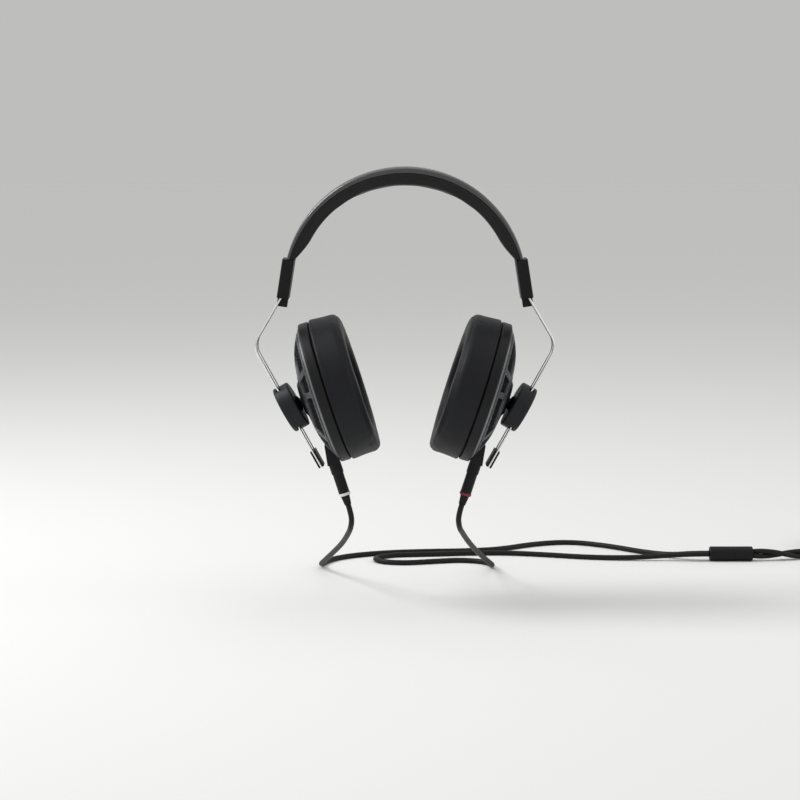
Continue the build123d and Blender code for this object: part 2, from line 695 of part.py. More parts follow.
def make_plug():
    pin_top = JACK_BOTTOM + PIN_IN_SOCKET
    sleeve_top = pin_top + 1
    sleeve = turned(SOCKET_SLEEVE_RADIUS, on_plug_axis(JACK_BOTTOM), on_plug_axis(sleeve_top))
    sleeve -= turned(
        PIN_RADIUS + RUNNING_FIT, on_plug_axis(JACK_BOTTOM - 1), on_plug_axis(sleeve_top + 1)
    )
    housing = jack_outline(0, 0)
    housing -= turned(
        SOCKET_SLEEVE_RADIUS + SEAT_FIT, on_plug_axis(JACK_BOTTOM - 1), on_plug_axis(sleeve_top)
    )
    pin_foot = JACK_BOTTOM - PIN_IN_BARREL
    pin = turned(PIN_RADIUS, on_plug_axis(pin_foot), on_plug_axis(pin_top))
    collar_end = JACK_BOTTOM - COLLAR_LENGTH
    barrel = turned(COLLAR_RADIUS, on_plug_axis(JACK_BOTTOM), on_plug_axis(collar_end))
    barrel += turned(BARREL_RADIUS, on_plug_axis(collar_end), on_plug_axis(BARREL_END))
    barrel -= turned(
        PIN_RADIUS + SEAT_FIT, on_plug_axis(pin_foot - SEAT_FIT), on_plug_axis(JACK_BOTTOM + 1)
    )
    relief = turned(
        RELIEF_BASE_RADIUS, on_plug_axis(BARREL_END), on_plug_axis(RELIEF_END), RELIEF_TIP_RADIUS
    )
    save_pair("jack_housing", CUP * housing)
    save_pair("jack_socket", CUP * sleeve)
    save_pair("plug_pin", CUP * pin)
    save_pair("plug_barrel", CUP * barrel)
    save_pair("strain_relief", CUP * relief)


# ---- cable ------------------------------------------------------------------------
def radii_of(points):
    """Fillet radius at each corner: as large as the two runs that meet there allow."""
    radii = []
    for before, corner, after in zip(points, points[1:], points[2:]):
        first, second = corner - before, after - corner
        turn = math.radians(first.get_angle(second))
        shorter = min(first.length, second.length)
        radii.append(SHORTER_RUN_SHARE * shorter / math.tan(turn / 2))
    return radii


def cord_tube(name, points, radius):
    """Tube of straight runs joined by tangent arcs. Prints its radii, length and volume."""
    radii = radii_of(points)
    path = FilletPolyline(*points, radius=radii)
    section = Plane(origin=path @ 0, z_dir=path % 0) * Circle(radius)
    tube = sweep(section, path=path)
    expected = math.pi * radius**2 * path.length
    print(name, "length", round(path.length, 1), "volume share", round(tube.volume / expected, 4))
    print("  radii", [round(r) for r in radii])
    return tube


def floor_route(points, radius):
    """Points given as x, y and height of the cord's underside above the floor."""
    return [Vector(x, y, FLOOR + radius + height) for x, y, height in points]


plug_exit = CUP.from_local_coords(on_plug_axis(RELIEF_END))
exit_heading = -CUP.y_dir
FIRST_RUN = 9.0
lead_start = plug_exit
lead_second = plug_exit + exit_heading * FIRST_RUN

# x, y, height of the underside. The leads fall behind the cups, lie on the surface and run
# off to the right, side by side and then apart, up to the splitter.
LEFT_LEAD_ROUTE = [
    (-38.6, 6, 51.5),
    (-41.3, 22, 43.5),
    (-46.0, 48, 32.5),
    (-52.8, 78, 21.0),
    (-60.5, 106, 9.5),
    (-66.0, 134, 0),
    (-58.0, 160, 0),
    (-40.0, 177, 0),
    (-12.0, 189, 0),
    (18.0, 194, 0),
    (47.0, 196, 0),
    (76.0, 203, 0),
    (105.0, 228, 0),
    (135.0, 238, 0),
    (165.0, 219, 0),
    (192.0, 189, 0),
    (211.0, 173, 1.0),
    (226.0, 165.2, 3.7),
]
RIGHT_LEAD_ROUTE = [
    (38.9, 8, 51.0),
    (41.2, 24, 45.0),
    (46.0, 50, 34.0),
    (53.0, 80, 21.5),
    (61.5, 107, 9.5),
    (69.0, 129, 0),
    (63.0, 149, 0),
    (43.0, 156, 0),
    (22.0, 150, 0),
    (0.0, 143, 0),
    (-19.0, 148, 0),
    (-25.0, 164, 0),
    (-12.0, 177, 0),
    (9.0, 180, 0),
    (27.0, 182, 0),
    (48.0, 186, 0),
    (82.0, 187, 0),
    (112.0, 179, 0),
    (146.0, 167, 0),
    (181.0, 163, 0.4),
    (208.0, 164, 2.2),
    (225.0, 160.8, 3.7),
]
MAIN_ROUTE = [
    (287.0, 163.0, 1.7),
    (312.0, 170.5, 0),
    (334.0, 176.5, 0),
]
MAIN_ENDS_AT_COIL = (354.0, 177.3, 0)
TAIL_ROUTE = [
    (427.6, 214.0, 0),
    (428.4, 225.0, 0),
    (431.4, 236.0, 0),
]


def lead(name, route, side):
    """One lead, from its plug's strain relief to the splitter."""
    start = Vector(side * lead_start.X, lead_start.Y, lead_start.Z)
    second = Vector(side * lead_second.X, lead_second.Y, lead_second.Z)
    end = SPLITTER_START + Vector(0, -side * LEAD_SPACING / 2, 0)
    points = [start, second, *floor_route(route, LEAD_RADIUS), end]
    save(name, cord_tube(name, points, LEAD_RADIUS))


def make_cable():
    lead("left_lead", LEFT_LEAD_ROUTE, -1)
    lead("right_lead", RIGHT_LEAD_ROUTE, 1)

    splitter_end = SPLITTER_START + Vector(SPLITTER_LENGTH, 0, 0)
    splitter = turned(SPLITTER_RADIUS, SPLITTER_START, splitter_end)
    save("cable_splitter", fillet(splitter.edges(), 1.0))

    on_floor = floor_route([*MAIN_ROUTE, MAIN_ENDS_AT_COIL], MAIN_RADIUS)
    main_points = [splitter_end, *on_floor]
    main = cord_tube("main_cable", main_points, MAIN_RADIUS)
    tail_points = floor_route(TAIL_ROUTE, MAIN_RADIUS)
    tail = cord_tube("main_cable_tail", tail_points, MAIN_RADIUS)
    save("main_cable", Compound(children=[main.solid(), tail.solid()]))

    outer, inner = COIL_MEAN_RADIUS + 2 * MAIN_RADIUS, COIL_MEAN_RADIUS - 2 * MAIN_RADIUS
    coil = ring(outer, inner, 0, 4 * MAIN_RADIUS - 1)
    coil = fillet(coil.edges(), MAIN_RADIUS * 0.8)
    save("cable_coil", Pos(*COIL_CENTRE) * coil)
    print("coil holds", round(2 * math.pi * COIL_MEAN_RADIUS * COIL_TURNS))

    aim = (tail_points[-1] - tail_points[-2]).normalized()
    relief_end = tail_points[-1] + aim * SOURCE_RELIEF_LENGTH
    barrel_end = relief_end + aim * SOURCE_BARREL_LENGTH
    pin_end = barrel_end + aim * SOURCE_PIN_LENGTH
    barrel = turned(SOURCE_BARREL_RADIUS * 0.7, tail_points[-1], relief_end, SOURCE_BARREL_RADIUS)
    barrel += turned(SOURCE_BARREL_RADIUS, relief_end, barrel_end)
    pin = turned(SOURCE_PIN_RADIUS, barrel_end, pin_end)
    save("source_plug", Compound(children=[barrel.solid(), pin.solid()]))
    print("source pin from", barrel_end, "to", pin_end)


def report_joints():
    """Print the places that the record states."""
    print("ball centre", ball_centre, "cup centre", CUP.origin, "plug exit", plug_exit)
    print("slider middle", slider_middle, "rod end", rod_end, "block bottom", block_bottom)


make_headband()
make_hanger()
make_slider()
make_pivot()
make_cup()
make_plug()
make_cable()
report_joints()
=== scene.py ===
import logging
import math
from collections.abc import Callable, Iterable, Sequence
from dataclasses import dataclass, field
from enum import Enum

import bmesh
import bpy
import numpy as np
from mathutils import Matrix, Vector
from mathutils.bvhtree import BVHTree


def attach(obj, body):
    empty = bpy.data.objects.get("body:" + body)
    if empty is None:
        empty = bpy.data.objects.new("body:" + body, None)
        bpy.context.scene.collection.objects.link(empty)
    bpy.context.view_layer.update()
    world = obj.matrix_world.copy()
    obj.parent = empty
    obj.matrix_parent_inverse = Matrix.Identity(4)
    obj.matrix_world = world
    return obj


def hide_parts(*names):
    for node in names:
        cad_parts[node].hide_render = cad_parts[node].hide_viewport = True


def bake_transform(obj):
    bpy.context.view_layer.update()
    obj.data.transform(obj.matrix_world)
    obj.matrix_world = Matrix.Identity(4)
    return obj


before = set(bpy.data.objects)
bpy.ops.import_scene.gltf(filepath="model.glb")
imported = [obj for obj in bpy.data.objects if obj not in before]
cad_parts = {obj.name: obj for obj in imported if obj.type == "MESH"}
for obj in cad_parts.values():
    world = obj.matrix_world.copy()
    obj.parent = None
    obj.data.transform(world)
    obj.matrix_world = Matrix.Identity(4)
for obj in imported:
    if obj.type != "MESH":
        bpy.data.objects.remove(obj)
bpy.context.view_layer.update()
log = logging.getLogger("headphones")

MM = 0.001
FLOOR_Z = -298.0 * MM
Color = tuple[float, float, float]
Profile = Sequence[tuple[float, float]]


# ---------------------------------------------------------------------------
# Named options
# ---------------------------------------------------------------------------
class Side(Enum):
    """The wearer's side that a piece belongs to, with its sign along X."""

    RIGHT = 1
    LEFT = -1

    @property
    def label(self) -> str:
        """The side's name, as the node names use it."""
        return self.name.lower()

    def place(self, point: Vector) -> Vector:
        """A point of the right side, brought over to this side."""
        return Vector((self.value * point.x, point.y, point.z))


class Tone(Enum):
    """Base colours, linear."""

    LEATHER = (0.0032, 0.0032, 0.0036)
    LEATHER_LIFT = (0.0062, 0.0063, 0.0070)
    PAD = (0.0030, 0.0034, 0.0048)
    PAD_LIFT = (0.0055, 0.0062, 0.0086)
    BLACK = (0.0040, 0.0041, 0.0045)
    BLACK_LIFT = (0.0078, 0.0080, 0.0088)
    CHARCOAL = (0.0120, 0.0128, 0.0144)
    CHARCOAL_LIFT = (0.0200, 0.0212, 0.0236)
    GUNMETAL = (0.0620, 0.0640, 0.0680)
    GUNMETAL_LIFT = (0.0950, 0.0980, 0.1040)
    STEEL = (0.7400, 0.7450, 0.7500)
    STEEL_LIFT = (0.8400, 0.8450, 0.8500)
    ALLOY = (0.5000, 0.5100, 0.5250)
    ALLOY_LIFT = (0.6600, 0.6700, 0.6850)
    FLANGE = (0.2200, 0.2250, 0.2350)
    FLANGE_LIFT = (0.3000, 0.3060, 0.3180)
    MAGNET = (0.0080, 0.0083, 0.0090)
    MAGNET_LIFT = (0.0150, 0.0155, 0.0168)
    FILM = (0.2000, 0.1600, 0.0800)
    FILM_LIFT = (0.2800, 0.2300, 0.1250)
    NICKEL = (0.5600, 0.5400, 0.5000)
    NICKEL_LIFT = (0.7000, 0.6800, 0.6400)
    RUBBER = (0.0055, 0.0055, 0.0060)
    RUBBER_LIFT = (0.0095, 0.0095, 0.0103)
    BARREL = (0.0100, 0.0103, 0.0112)
    BARREL_LIFT = (0.0200, 0.0205, 0.0220)
    BUSH = (0.0300, 0.0300, 0.0300)
    BUSH_LIFT = (0.0450, 0.0450, 0.0450)
    THREAD = (0.0120, 0.0122, 0.0130)
    THREAD_LIFT = (0.0220, 0.0225, 0.0235)
    WHITE = (0.7200, 0.7200, 0.7050)
    WHITE_LIFT = (0.8000, 0.8000, 0.7900)
    RED = (0.1500, 0.0080, 0.0180)
    RED_LIFT = (0.2000, 0.0140, 0.0260)


# ---------------------------------------------------------------------------
# Node graphs
# ---------------------------------------------------------------------------
class Graph:
    """A node tree with short calls that add nodes and join them."""

    def __init__(self, tree: bpy.types.NodeTree) -> None:
        """Wrap a node tree, emptied first.

        Args:
            tree: The tree of a material, a world or a group.
        """
        self.tree = tree
        tree.nodes.clear()

    def add(self, kind: str, inputs: dict | None = None, **settings: object) -> bpy.types.Node:
        """Add one node.

        Args:
            kind: The node's type name.
            inputs: Sockets by name or number, each with a value or a socket to join.
            settings: Properties of the node itself.

        Returns:
            The new node.
        """
        node = self.tree.nodes.new(kind)
        for name, value in settings.items():
            setattr(node, name, value)
        for key, value in (inputs or {}).items():
            if isinstance(value, bpy.types.NodeSocket):
                self.tree.links.new(value, node.inputs[key])
            else:
                node.inputs[key].default_value = value
        return node

    def math(self, operation: str, *values: object) -> bpy.types.NodeSocket:
        """A Math node's result, from values or sockets."""
        return self.add("ShaderNodeMath", dict(enumerate(values)), operation=operation).outputs[0]

    def vector(self, operation: str, *values: object) -> bpy.types.Node:
        """A Vector Math node, from vectors or sockets."""
        return self.add("ShaderNodeVectorMath", dict(enumerate(values)), operation=operation)

    def remap(self, value: object, low: float, high: float, to: tuple = (0.0, 1.0)) -> bpy.types.NodeSocket:
        """A value mapped from one range to another, and clamped to it."""
        inputs = {"Value": value, "From Min": low, "From Max": high}
        inputs |= {"To Min": to[0], "To Max": to[1]}
        return self.add("ShaderNodeMapRange", inputs).outputs["Result"]

    def mix(self, factor: object, first: object, second: object) -> bpy.types.NodeSocket:
        """Two colours mixed by a factor."""
        node = self.add("ShaderNodeMix", {0: factor}, data_type="RGBA")
        for key, value in ((6, first), (7, second)):
            if isinstance(value, bpy.types.NodeSocket):
                self.tree.links.new(value, node.inputs[key])
            else:
                node.inputs[key].default_value = (*value[:3], 1.0)
        return node.outputs[2]


def shared_group(name: str, inputs: dict, outputs: dict, fill: Callable) -> bpy.types.NodeTree:
    """Make a shader node group once, and give the same one afterwards.

    Args:
        name: The group's name.
        inputs: Input names with their default values; a tuple makes a colour or a vector.
        outputs: Output names with their socket types.
        fill: Called with the graph and the group input node; returns outputs by name.

    Returns:
        The group's node tree.
    """
    if name in bpy.data.node_groups:
        return bpy.data.node_groups[name]
    tree = bpy.data.node_groups.new(name, "ShaderNodeTree")
    for label, default in inputs.items():
        kind = "NodeSocketFloat"
        if isinstance(default, tuple):
            kind = "NodeSocketColor" if len(default) == 4 else "NodeSocketVector"
        socket = tree.interface.new_socket(label, in_out="INPUT", socket_type=kind)
        socket.default_value = default
    for label, kind in outputs.items():
        tree.interface.new_socket(label, in_out="OUTPUT", socket_type=kind)
    graph = Graph(tree)
    results = fill(graph, graph.add("NodeGroupInput"))
    graph.add("NodeGroupOutput", results)
    return tree


def grain_group() -> bpy.types.NodeTree:
    """Pebbled leather grain: cells with soft valleys, and pores in the cells."""

    def fill(graph: Graph, given: bpy.types.Node) -> dict:
        """Build the group's nodes, and give the sockets that it returns."""
        where = graph.add("ShaderNodeTexCoord").outputs["Object"]
        scale = given.outputs["Scale"]
        warp = graph.add("ShaderNodeTexNoise", {"Vector": where, "Scale": scale, "Detail": 2.0})
        push = graph.vector("SCALE", warp.outputs["Color"])
        graph.tree.links.new(graph.math("DIVIDE", 0.9, scale), push.inputs["Scale"])
        moved = graph.vector("ADD", where, push.outputs[0]).outputs[0]
        cells = graph.add(
            "ShaderNodeTexVoronoi", {"Vector": moved, "Scale": scale}, feature="DISTANCE_TO_EDGE"
        )
        valley = graph.remap(cells.outputs["Distance"], 0.0, given.outputs["Valley"])
        finer = graph.math("MULTIPLY", scale, 3.1)
        pores = graph.add("ShaderNodeTexNoise", {"Vector": where, "Scale": finer, "Detail": 3.0})
        height = graph.math("MULTIPLY_ADD", pores.outputs[0], 0.35, valley)
        return {"Height": height, "Valley": graph.math("SUBTRACT", 1.0, valley)}

    return shared_group(
        "leather_grain",
        {"Scale": 1400.0, "Valley": 0.16},
        {"Height": "NodeSocketFloat", "Valley": "NodeSocketFloat"},
        fill,
    )


def drift_group() -> bpy.types.NodeTree:
    """Slow change of colour and of shine over a surface, with faint handling smudges."""

    def fill(graph: Graph, given: bpy.types.Node) -> dict:
        """Build the group's nodes, and give the sockets that it returns."""
        where = graph.add("ShaderNodeTexCoord").outputs["Object"]
        scale = given.outputs["Scale"]
        broad = graph.add("ShaderNodeTexNoise", {"Vector": where, "Scale": scale, "Detail": 4.0})
        slow = graph.remap(broad.outputs[0], 0.3, 0.7)
        finer = graph.math("MULTIPLY", scale, 7.0)
        small = graph.add("ShaderNodeTexNoise", {"Vector": where, "Scale": finer, "Detail": 5.0})
        spots = graph.remap(small.outputs[0], 0.35, 0.75)
        share = graph.math("MULTIPLY_ADD", spots, 0.35, graph.math("MULTIPLY", slow, 0.65))
        color = graph.mix(share, given.outputs["Base"], given.outputs["Lift"])
        return {"Color": color, "Share": share}

    return shared_group(
        "tone_drift",
        {"Base": (0.01, 0.01, 0.01, 1.0), "Lift": (0.02, 0.02, 0.02, 1.0), "Scale": 30.0},
        {"Color": "NodeSocketColor", "Share": "NodeSocketFloat"},
        fill,
    )


def edge_group() -> bpy.types.NodeTree:
    """Softened edges: a rounded normal, and a broken mask of rubbed paint along them."""

    def fill(graph: Graph, given: bpy.types.Node) -> dict:
        """Build the group's nodes, and give the sockets that it returns."""
        bevel = graph.add("ShaderNodeBevel", {"Radius": given.outputs["Radius"]}, samples=6)
        normal = graph.add("ShaderNodeNewGeometry").outputs["Normal"]
        facing = graph.vector("DOT_PRODUCT", bevel.outputs[0], normal).outputs["Value"]
        edge = graph.remap(facing, 0.985, 0.80)
        where = graph.add("ShaderNodeTexCoord").outputs["Object"]
        chips = graph.add("ShaderNodeTexNoise", {"Vector": where, "Scale": 420.0, "Detail": 4.0})
        broken = graph.remap(chips.outputs[0], 0.42, 0.62)
        mask = graph.math("MULTIPLY", graph.math("MULTIPLY", edge, broken), given.outputs["Wear"])
        return {"Normal": bevel.outputs[0], "Mask": mask}

    return shared_group(
        "rubbed_edges",
        {"Radius": 0.0004, "Wear": 0.5},
        {"Normal": "NodeSocketVector", "Mask": "NodeSocketFloat"},
        fill,
    )


def lathe_group() -> bpy.types.NodeTree:
    """Fine turning marks round an axis, as a height and as a streak mask."""

    def fill(graph: Graph, given: bpy.types.Node) -> dict:
        """Build the group's nodes, and give the sockets that it returns."""
        where = graph.add("ShaderNodeTexCoord").outputs["Object"]
        arm = graph.vector("SUBTRACT", where, given.outputs["Centre"]).outputs[0]
        along = graph.vector("DOT_PRODUCT", arm, given.outputs["Axis"]).outputs["Value"]
        shaft = graph.vector("SCALE", given.outputs["Axis"])
        graph.tree.links.new(along, shaft.inputs["Scale"])
        radius = graph.vector("LENGTH", graph.vector("SUBTRACT", arm, shaft.outputs[0]).outputs[0])
        spot = graph.add(
            "ShaderNodeCombineXYZ", {"X": radius.outputs["Value"], "Y": along, "Z": 0.0}
        )
        marks = graph.add(
            "ShaderNodeTexNoise",
            {"Vector": spot.outputs[0], "Scale": given.outputs["Pitch"], "Detail": 3.0},
        )
        return {"Height": marks.outputs[0], "Streak": graph.remap(marks.outputs[0], 0.35, 0.65)}

    return shared_group(
        "turning_marks",
        {"Centre": (0.0, 0.0, 0.0), "Axis": (1.0, 0.0, 0.0), "Pitch": 2600.0},
        {"Height": "NodeSocketFloat", "Streak": "NodeSocketFloat"},
        fill,
    )


def place_group(graph: Graph, tree: bpy.types.NodeTree, inputs: dict) -> bpy.types.Node:
    """Put a shared group in a graph, with its own values.

    Args:
        graph: Where it goes.
        tree: The group.
        inputs: Its values by name.

    Returns:
        The group node.
    """
    node = graph.add("ShaderNodeGroup", node_tree=tree)
    for key, value in inputs.items():
        if isinstance(value, bpy.types.NodeSocket):
            graph.tree.links.new(value, node.inputs[key])
        else:
            node.inputs[key].default_value = value
    return node


# ---------------------------------------------------------------------------
# Finishes
# ---------------------------------------------------------------------------
@dataclass(frozen=True)
class Finish:
    """A surface finish.

    Attributes:
        name: The material's name.
        base: The main colour.
        lift: The lighter colour that it drifts towards.
        drift: How many patches of it there are to a metre.
        rough: Lowest and highest roughness.
        specular: Specular level, for what isn't metal.
        metallic: 1 for bare metal, 0 for the rest.
        coat: Weight of a clear coat.
    """

    name: str
    base: Tone
    lift: Tone
    drift: float = 30.0
    rough: tuple[float, float] = (0.4, 0.5)
    specular: float = 0.4
    metallic: float = 0.0
    coat: float = 0.0

    def make(self) -> bpy.types.Material:
        """The material, made once."""
        title = f"{self.name}_finish"
        if title in bpy.data.materials:
            return bpy.data.materials[title]
        material = bpy.data.materials.new(title)
        material.use_nodes = True
        graph = Graph(material.node_tree)
        shader = graph.add("ShaderNodeBsdfPrincipled")
        shader.inputs["Metallic"].default_value = self.metallic
        shader.inputs["Specular IOR Level"].default_value = self.specular
        shader.inputs["Coat Weight"].default_value = self.coat
        shader.inputs["Coat Roughness"].default_value = 0.2
        drift = place_group(
            graph,
            drift_group(),
            {"Base": (*self.base.value, 1.0), "Lift": (*self.lift.value, 1.0), "Scale": self.drift},
        )
        color, rough, normal = self.surface(graph, drift)
        graph.tree.links.new(color, shader.inputs["Base Color"])
        graph.tree.links.new(rough, shader.inputs["Roughness"])
        graph.tree.links.new(normal, shader.inputs["Normal"])
        graph.add("ShaderNodeOutputMaterial", {"Surface": shader.outputs[0]})
        return material

    def surface(self, graph: Graph, drift: bpy.types.Node) -> tuple:
        """Colour, roughness and normal sockets. Each kind of finish has its own."""
        raise NotImplementedError

    def bump(self, graph: Graph, height: object, distance: float, normal: object = None) -> object:
        """A Bump node's normal.

        Args:
            graph: The material's graph.
            height: The height socket.
            distance: Height of 1, in metres.
            normal: A normal socket to start from.

        Returns:
            The normal socket.
        """
        inputs = {"Height": height, "Distance": distance, "Strength": 1.0}
        if normal is not None:
            inputs["Normal"] = normal
        return graph.add("ShaderNodeBump", inputs).outputs[0]


@dataclass(frozen=True)
class Leather(Finish):
    """Leather with a pebbled grain, duller in its valleys and darkened there with painted shade.

    Attributes:
        grain: Cells to a metre.
        depth: Depth of the valleys, in metres.
        crease: Depth of the broad creases, in metres.
    """

    grain: float = 1500.0
    depth: float = 0.00006
    crease: float = 0.00025

    def surface(self, graph: Graph, drift: bpy.types.Node) -> tuple:
        """Grain, creases, and dull valleys darkened with painted shade."""
        grain = place_group(graph, grain_group(), {"Scale": self.grain})
        where = graph.add("ShaderNodeTexCoord").outputs["Object"]
        folds = graph.add(
            "ShaderNodeTexNoise",
            {"Vector": where, "Scale": 120.0, "Detail": 3.0, "Distortion": 0.6},
        )
        # Painted shade: the grain's valleys are pulled towards a dark grey.
        painted_valley_shade = graph.math("MULTIPLY", grain.outputs["Valley"], 0.45)
        color = graph.mix(painted_valley_shade, drift.outputs["Color"], (0.004, 0.004, 0.005))
        rough = graph.remap(drift.outputs["Share"], 0.0, 1.0, self.rough)
        rough = graph.math("MULTIPLY_ADD", grain.outputs["Valley"], 0.12, rough)
        broad = self.bump(graph, folds.outputs[0], self.crease)
        return color, rough, self.bump(graph, grain.outputs["Height"], self.depth, broad)


@dataclass(frozen=True)
class Coated(Finish):
    """Painted, anodised or moulded surface with a fine texture and rubbed edges.

    Attributes:
        texture: Texture bumps to a metre.
        depth: Their height, in metres.
        radius: Radius of the softened edges, in metres.
        wear: How much the edges are rubbed.
        bare: Colour under the coat.
    """

    texture: float = 2600.0
    depth: float = 0.00002
    radius: float = 0.0004
    wear: float = 0.35
    bare: Tone = Tone.CHARCOAL_LIFT

    def surface(self, graph: Graph, drift: bpy.types.Node) -> tuple:
        """Fine texture, softened edges and rubbed paint."""
        edges = place_group(graph, edge_group(), {"Radius": self.radius, "Wear": self.wear})
        where = graph.add("ShaderNodeTexCoord").outputs["Object"]
        fine = graph.add(
            "ShaderNodeTexNoise", {"Vector": where, "Scale": self.texture, "Detail": 2.0}
        )
        color = graph.mix(edges.outputs["Mask"], drift.outputs["Color"], self.bare.value)
        rough = graph.remap(drift.outputs["Share"], 0.0, 1.0, self.rough)
        rough = graph.math("MULTIPLY_ADD", fine.outputs[0], 0.06, rough)
        return color, rough, self.bump(graph, fine.outputs[0], self.depth, edges.outputs["Normal"])


@dataclass(frozen=True)
class Turned(Coated):
    """A coated or bare surface with fine turning marks round an axis.

    Attributes:
        centre: A point on the axis.
        axis: The axis.
        pitch: Marks to a metre.
        mark: Depth of a mark, in metres.
    """

    centre: tuple[float, float, float] = (0.0, 0.0, 0.0)
    axis: tuple[float, float, float] = (1.0, 0.0, 0.0)
    pitch: float = 2600.0
    mark: float = 0.000015

    def surface(self, graph: Graph, drift: bpy.types.Node) -> tuple:
        """Turning marks over the coat, with streaks of shine along them."""
        color, rough, normal = super().surface(graph, drift)
        lathe = place_group(
            graph, lathe_group(), {"Centre": self.centre, "Axis": self.axis, "Pitch": self.pitch}
        )
        rough = graph.math("MULTIPLY_ADD", lathe.outputs["Streak"], 0.10, rough)
        return color, rough, self.bump(graph, lathe.outputs["Height"], self.mark, normal)


LEATHER = Leather(
    "band_leather", Tone.LEATHER, Tone.LEATHER_LIFT, 25.0, (0.24, 0.34), 0.8, coat=0.8, depth=0.00003
)
SOFT_LEATHER = Leather(
    "pad_leather", Tone.LEATHER, Tone.LEATHER_LIFT, 35.0, (0.42, 0.54), 0.3, grain=1900.0, depth=0.000025,
    crease=0.00015,
)
EAR_LEATHER = Leather(
    "ear_leather", Tone.PAD, Tone.PAD_LIFT, 22.0, (0.42, 0.54), 0.26, grain=2100.0, depth=0.00002,
    crease=0.00018,
)
BLACK_COAT = Coated("black_coat", Tone.BLACK, Tone.BLACK_LIFT, 40.0, (0.38, 0.5), 0.2)
BLACK_MOULDED = Coated(
    "black_moulded", Tone.BLACK, Tone.BLACK_LIFT, 30.0, (0.42, 0.55), 0.2, texture=1500.0, depth=0.00003
)
GUNMETAL = Coated(
    "gunmetal", Tone.GUNMETAL, Tone.GUNMETAL_LIFT, 50.0, (0.42, 0.52), metallic=1.0, wear=0.6,
    bare=Tone.ALLOY_LIFT, radius=0.0006,
)
STEEL = Coated(
    "polished_steel", Tone.STEEL, Tone.STEEL_LIFT, 60.0, (0.14, 0.22), metallic=1.0, wear=0.0,
    texture=900.0, depth=0.000004, radius=0.0001,
)
SPRING = Coated(
    "spring_steel", Tone.ALLOY, Tone.ALLOY_LIFT, 60.0, (0.25, 0.35), metallic=1.0, wear=0.0, radius=0.0001
)
SCREW_BLACK = Coated(
    "screw_black", Tone.CHARCOAL, Tone.CHARCOAL_LIFT, 80.0, (0.3, 0.4), metallic=0.8, radius=0.0002
)
MAGNET = Coated(
    "coated_magnet", Tone.MAGNET, Tone.MAGNET_LIFT, 60.0, (0.35, 0.5), metallic=0.6, radius=0.0003
)
FILM = Coated("driver_film", Tone.FILM, Tone.FILM_LIFT, 90.0, (0.2, 0.3), metallic=1.0, radius=0.0001)
CONTACT = Coated("nickel_contact", Tone.NICKEL, Tone.NICKEL_LIFT, 90.0, (0.15, 0.25), metallic=1.0)
BUSH = Coated("bush_plastic", Tone.BUSH, Tone.BUSH_LIFT, 60.0, (0.4, 0.5), 0.4, radius=0.0002)
WIRE = Coated(
    "grille_wire", Tone.BLACK, Tone.BLACK_LIFT, 80.0, (0.5, 0.6), 0.12, radius=0.0001, bare=Tone.BLACK_LIFT,
)
JACKET = Coated(
    "cable_jacket", Tone.RUBBER, Tone.RUBBER_LIFT, 18.0, (0.40, 0.52), 0.22, texture=1100.0,
    depth=0.00003, wear=0.0, radius=0.0002,
)
RELIEF = Coated(
    "relief_rubber", Tone.RUBBER, Tone.RUBBER_LIFT, 40.0, (0.48, 0.6), 0.2, texture=1600.0,
    depth=0.00002, wear=0.0,
)
THREAD = Coated(
    "waxed_thread", Tone.THREAD, Tone.THREAD_LIFT, 300.0, (0.55, 0.7), 0.2, texture=4200.0,
    depth=0.00004, wear=0.0, radius=0.0001,
)
WHITE_RING = Coated(
    "white_ring", Tone.WHITE, Tone.WHITE_LIFT, 90.0, (0.3, 0.4), 0.5, wear=0.0, radius=0.0002
)
RED_RING = Coated("red_ring", Tone.RED, Tone.RED_LIFT, 90.0, (0.3, 0.4), 0.5, wear=0.0, radius=0.0002)


# ---------------------------------------------------------------------------
# Meshes
# ---------------------------------------------------------------------------
def new_piece(name: str, mesh: bpy.types.Mesh, finish: Finish, smooth: bool = True) -> bpy.types.Object:
    """Put a mesh in the scene as a piece.

    Args:
        name: The piece's name.
        mesh: Its mesh.
        finish: Its finish.
        smooth: Whether its faces are shaded smooth.

    Returns:
        The object.
    """
    piece = bpy.data.objects.new(name, mesh)
    bpy.context.scene.collection.objects.link(piece)
    mesh.materials.clear()
    mesh.materials.append(finish.make())
    for polygon in mesh.polygons:
        polygon.use_smooth = smooth
    return piece


def grid_mesh(name: str, rows: Sequence[Sequence[Vector]], around: bool) -> bpy.types.Mesh:
    """Closed mesh over rows of points, each row a closed loop.

    Args:
        name: The mesh's name.
        rows: Loops of as many points each.
        around: Whether the last row joins the first. If not, the end loops get faces.

    Returns:
        The mesh.
    """
    shell = bmesh.new()
    loops = [[shell.verts.new(point) for point in row] for row in rows]
    pairs = list(zip(loops, loops[1:]))
    if around:
        pairs.append((loops[-1], loops[0]))
    for first, second in pairs:
        for index in range(len(first)):
            after = (index + 1) % len(first)
            shell.faces.new((first[index], first[after], second[after], second[index]))
    if not around:
        shell.faces.new(loops[0])
        shell.faces.new(loops[-1])
    bmesh.ops.recalc_face_normals(shell, faces=shell.faces)
    mesh = bpy.data.meshes.new(name)
    shell.to_mesh(mesh)
    shell.free()
    return mesh


def joined_mesh(name: str, meshes: Iterable[bpy.types.Mesh]) -> bpy.types.Mesh:
    """One mesh of several, which are removed.

    Args:
        name: The new mesh's name.
        meshes: The meshes.

    Returns:
        The mesh.
    """
    shell = bmesh.new()
    for mesh in meshes:
        shell.from_mesh(mesh)
        bpy.data.meshes.remove(mesh)
    mesh = bpy.data.meshes.new(name)
    shell.to_mesh(mesh)
    shell.free()
    return mesh


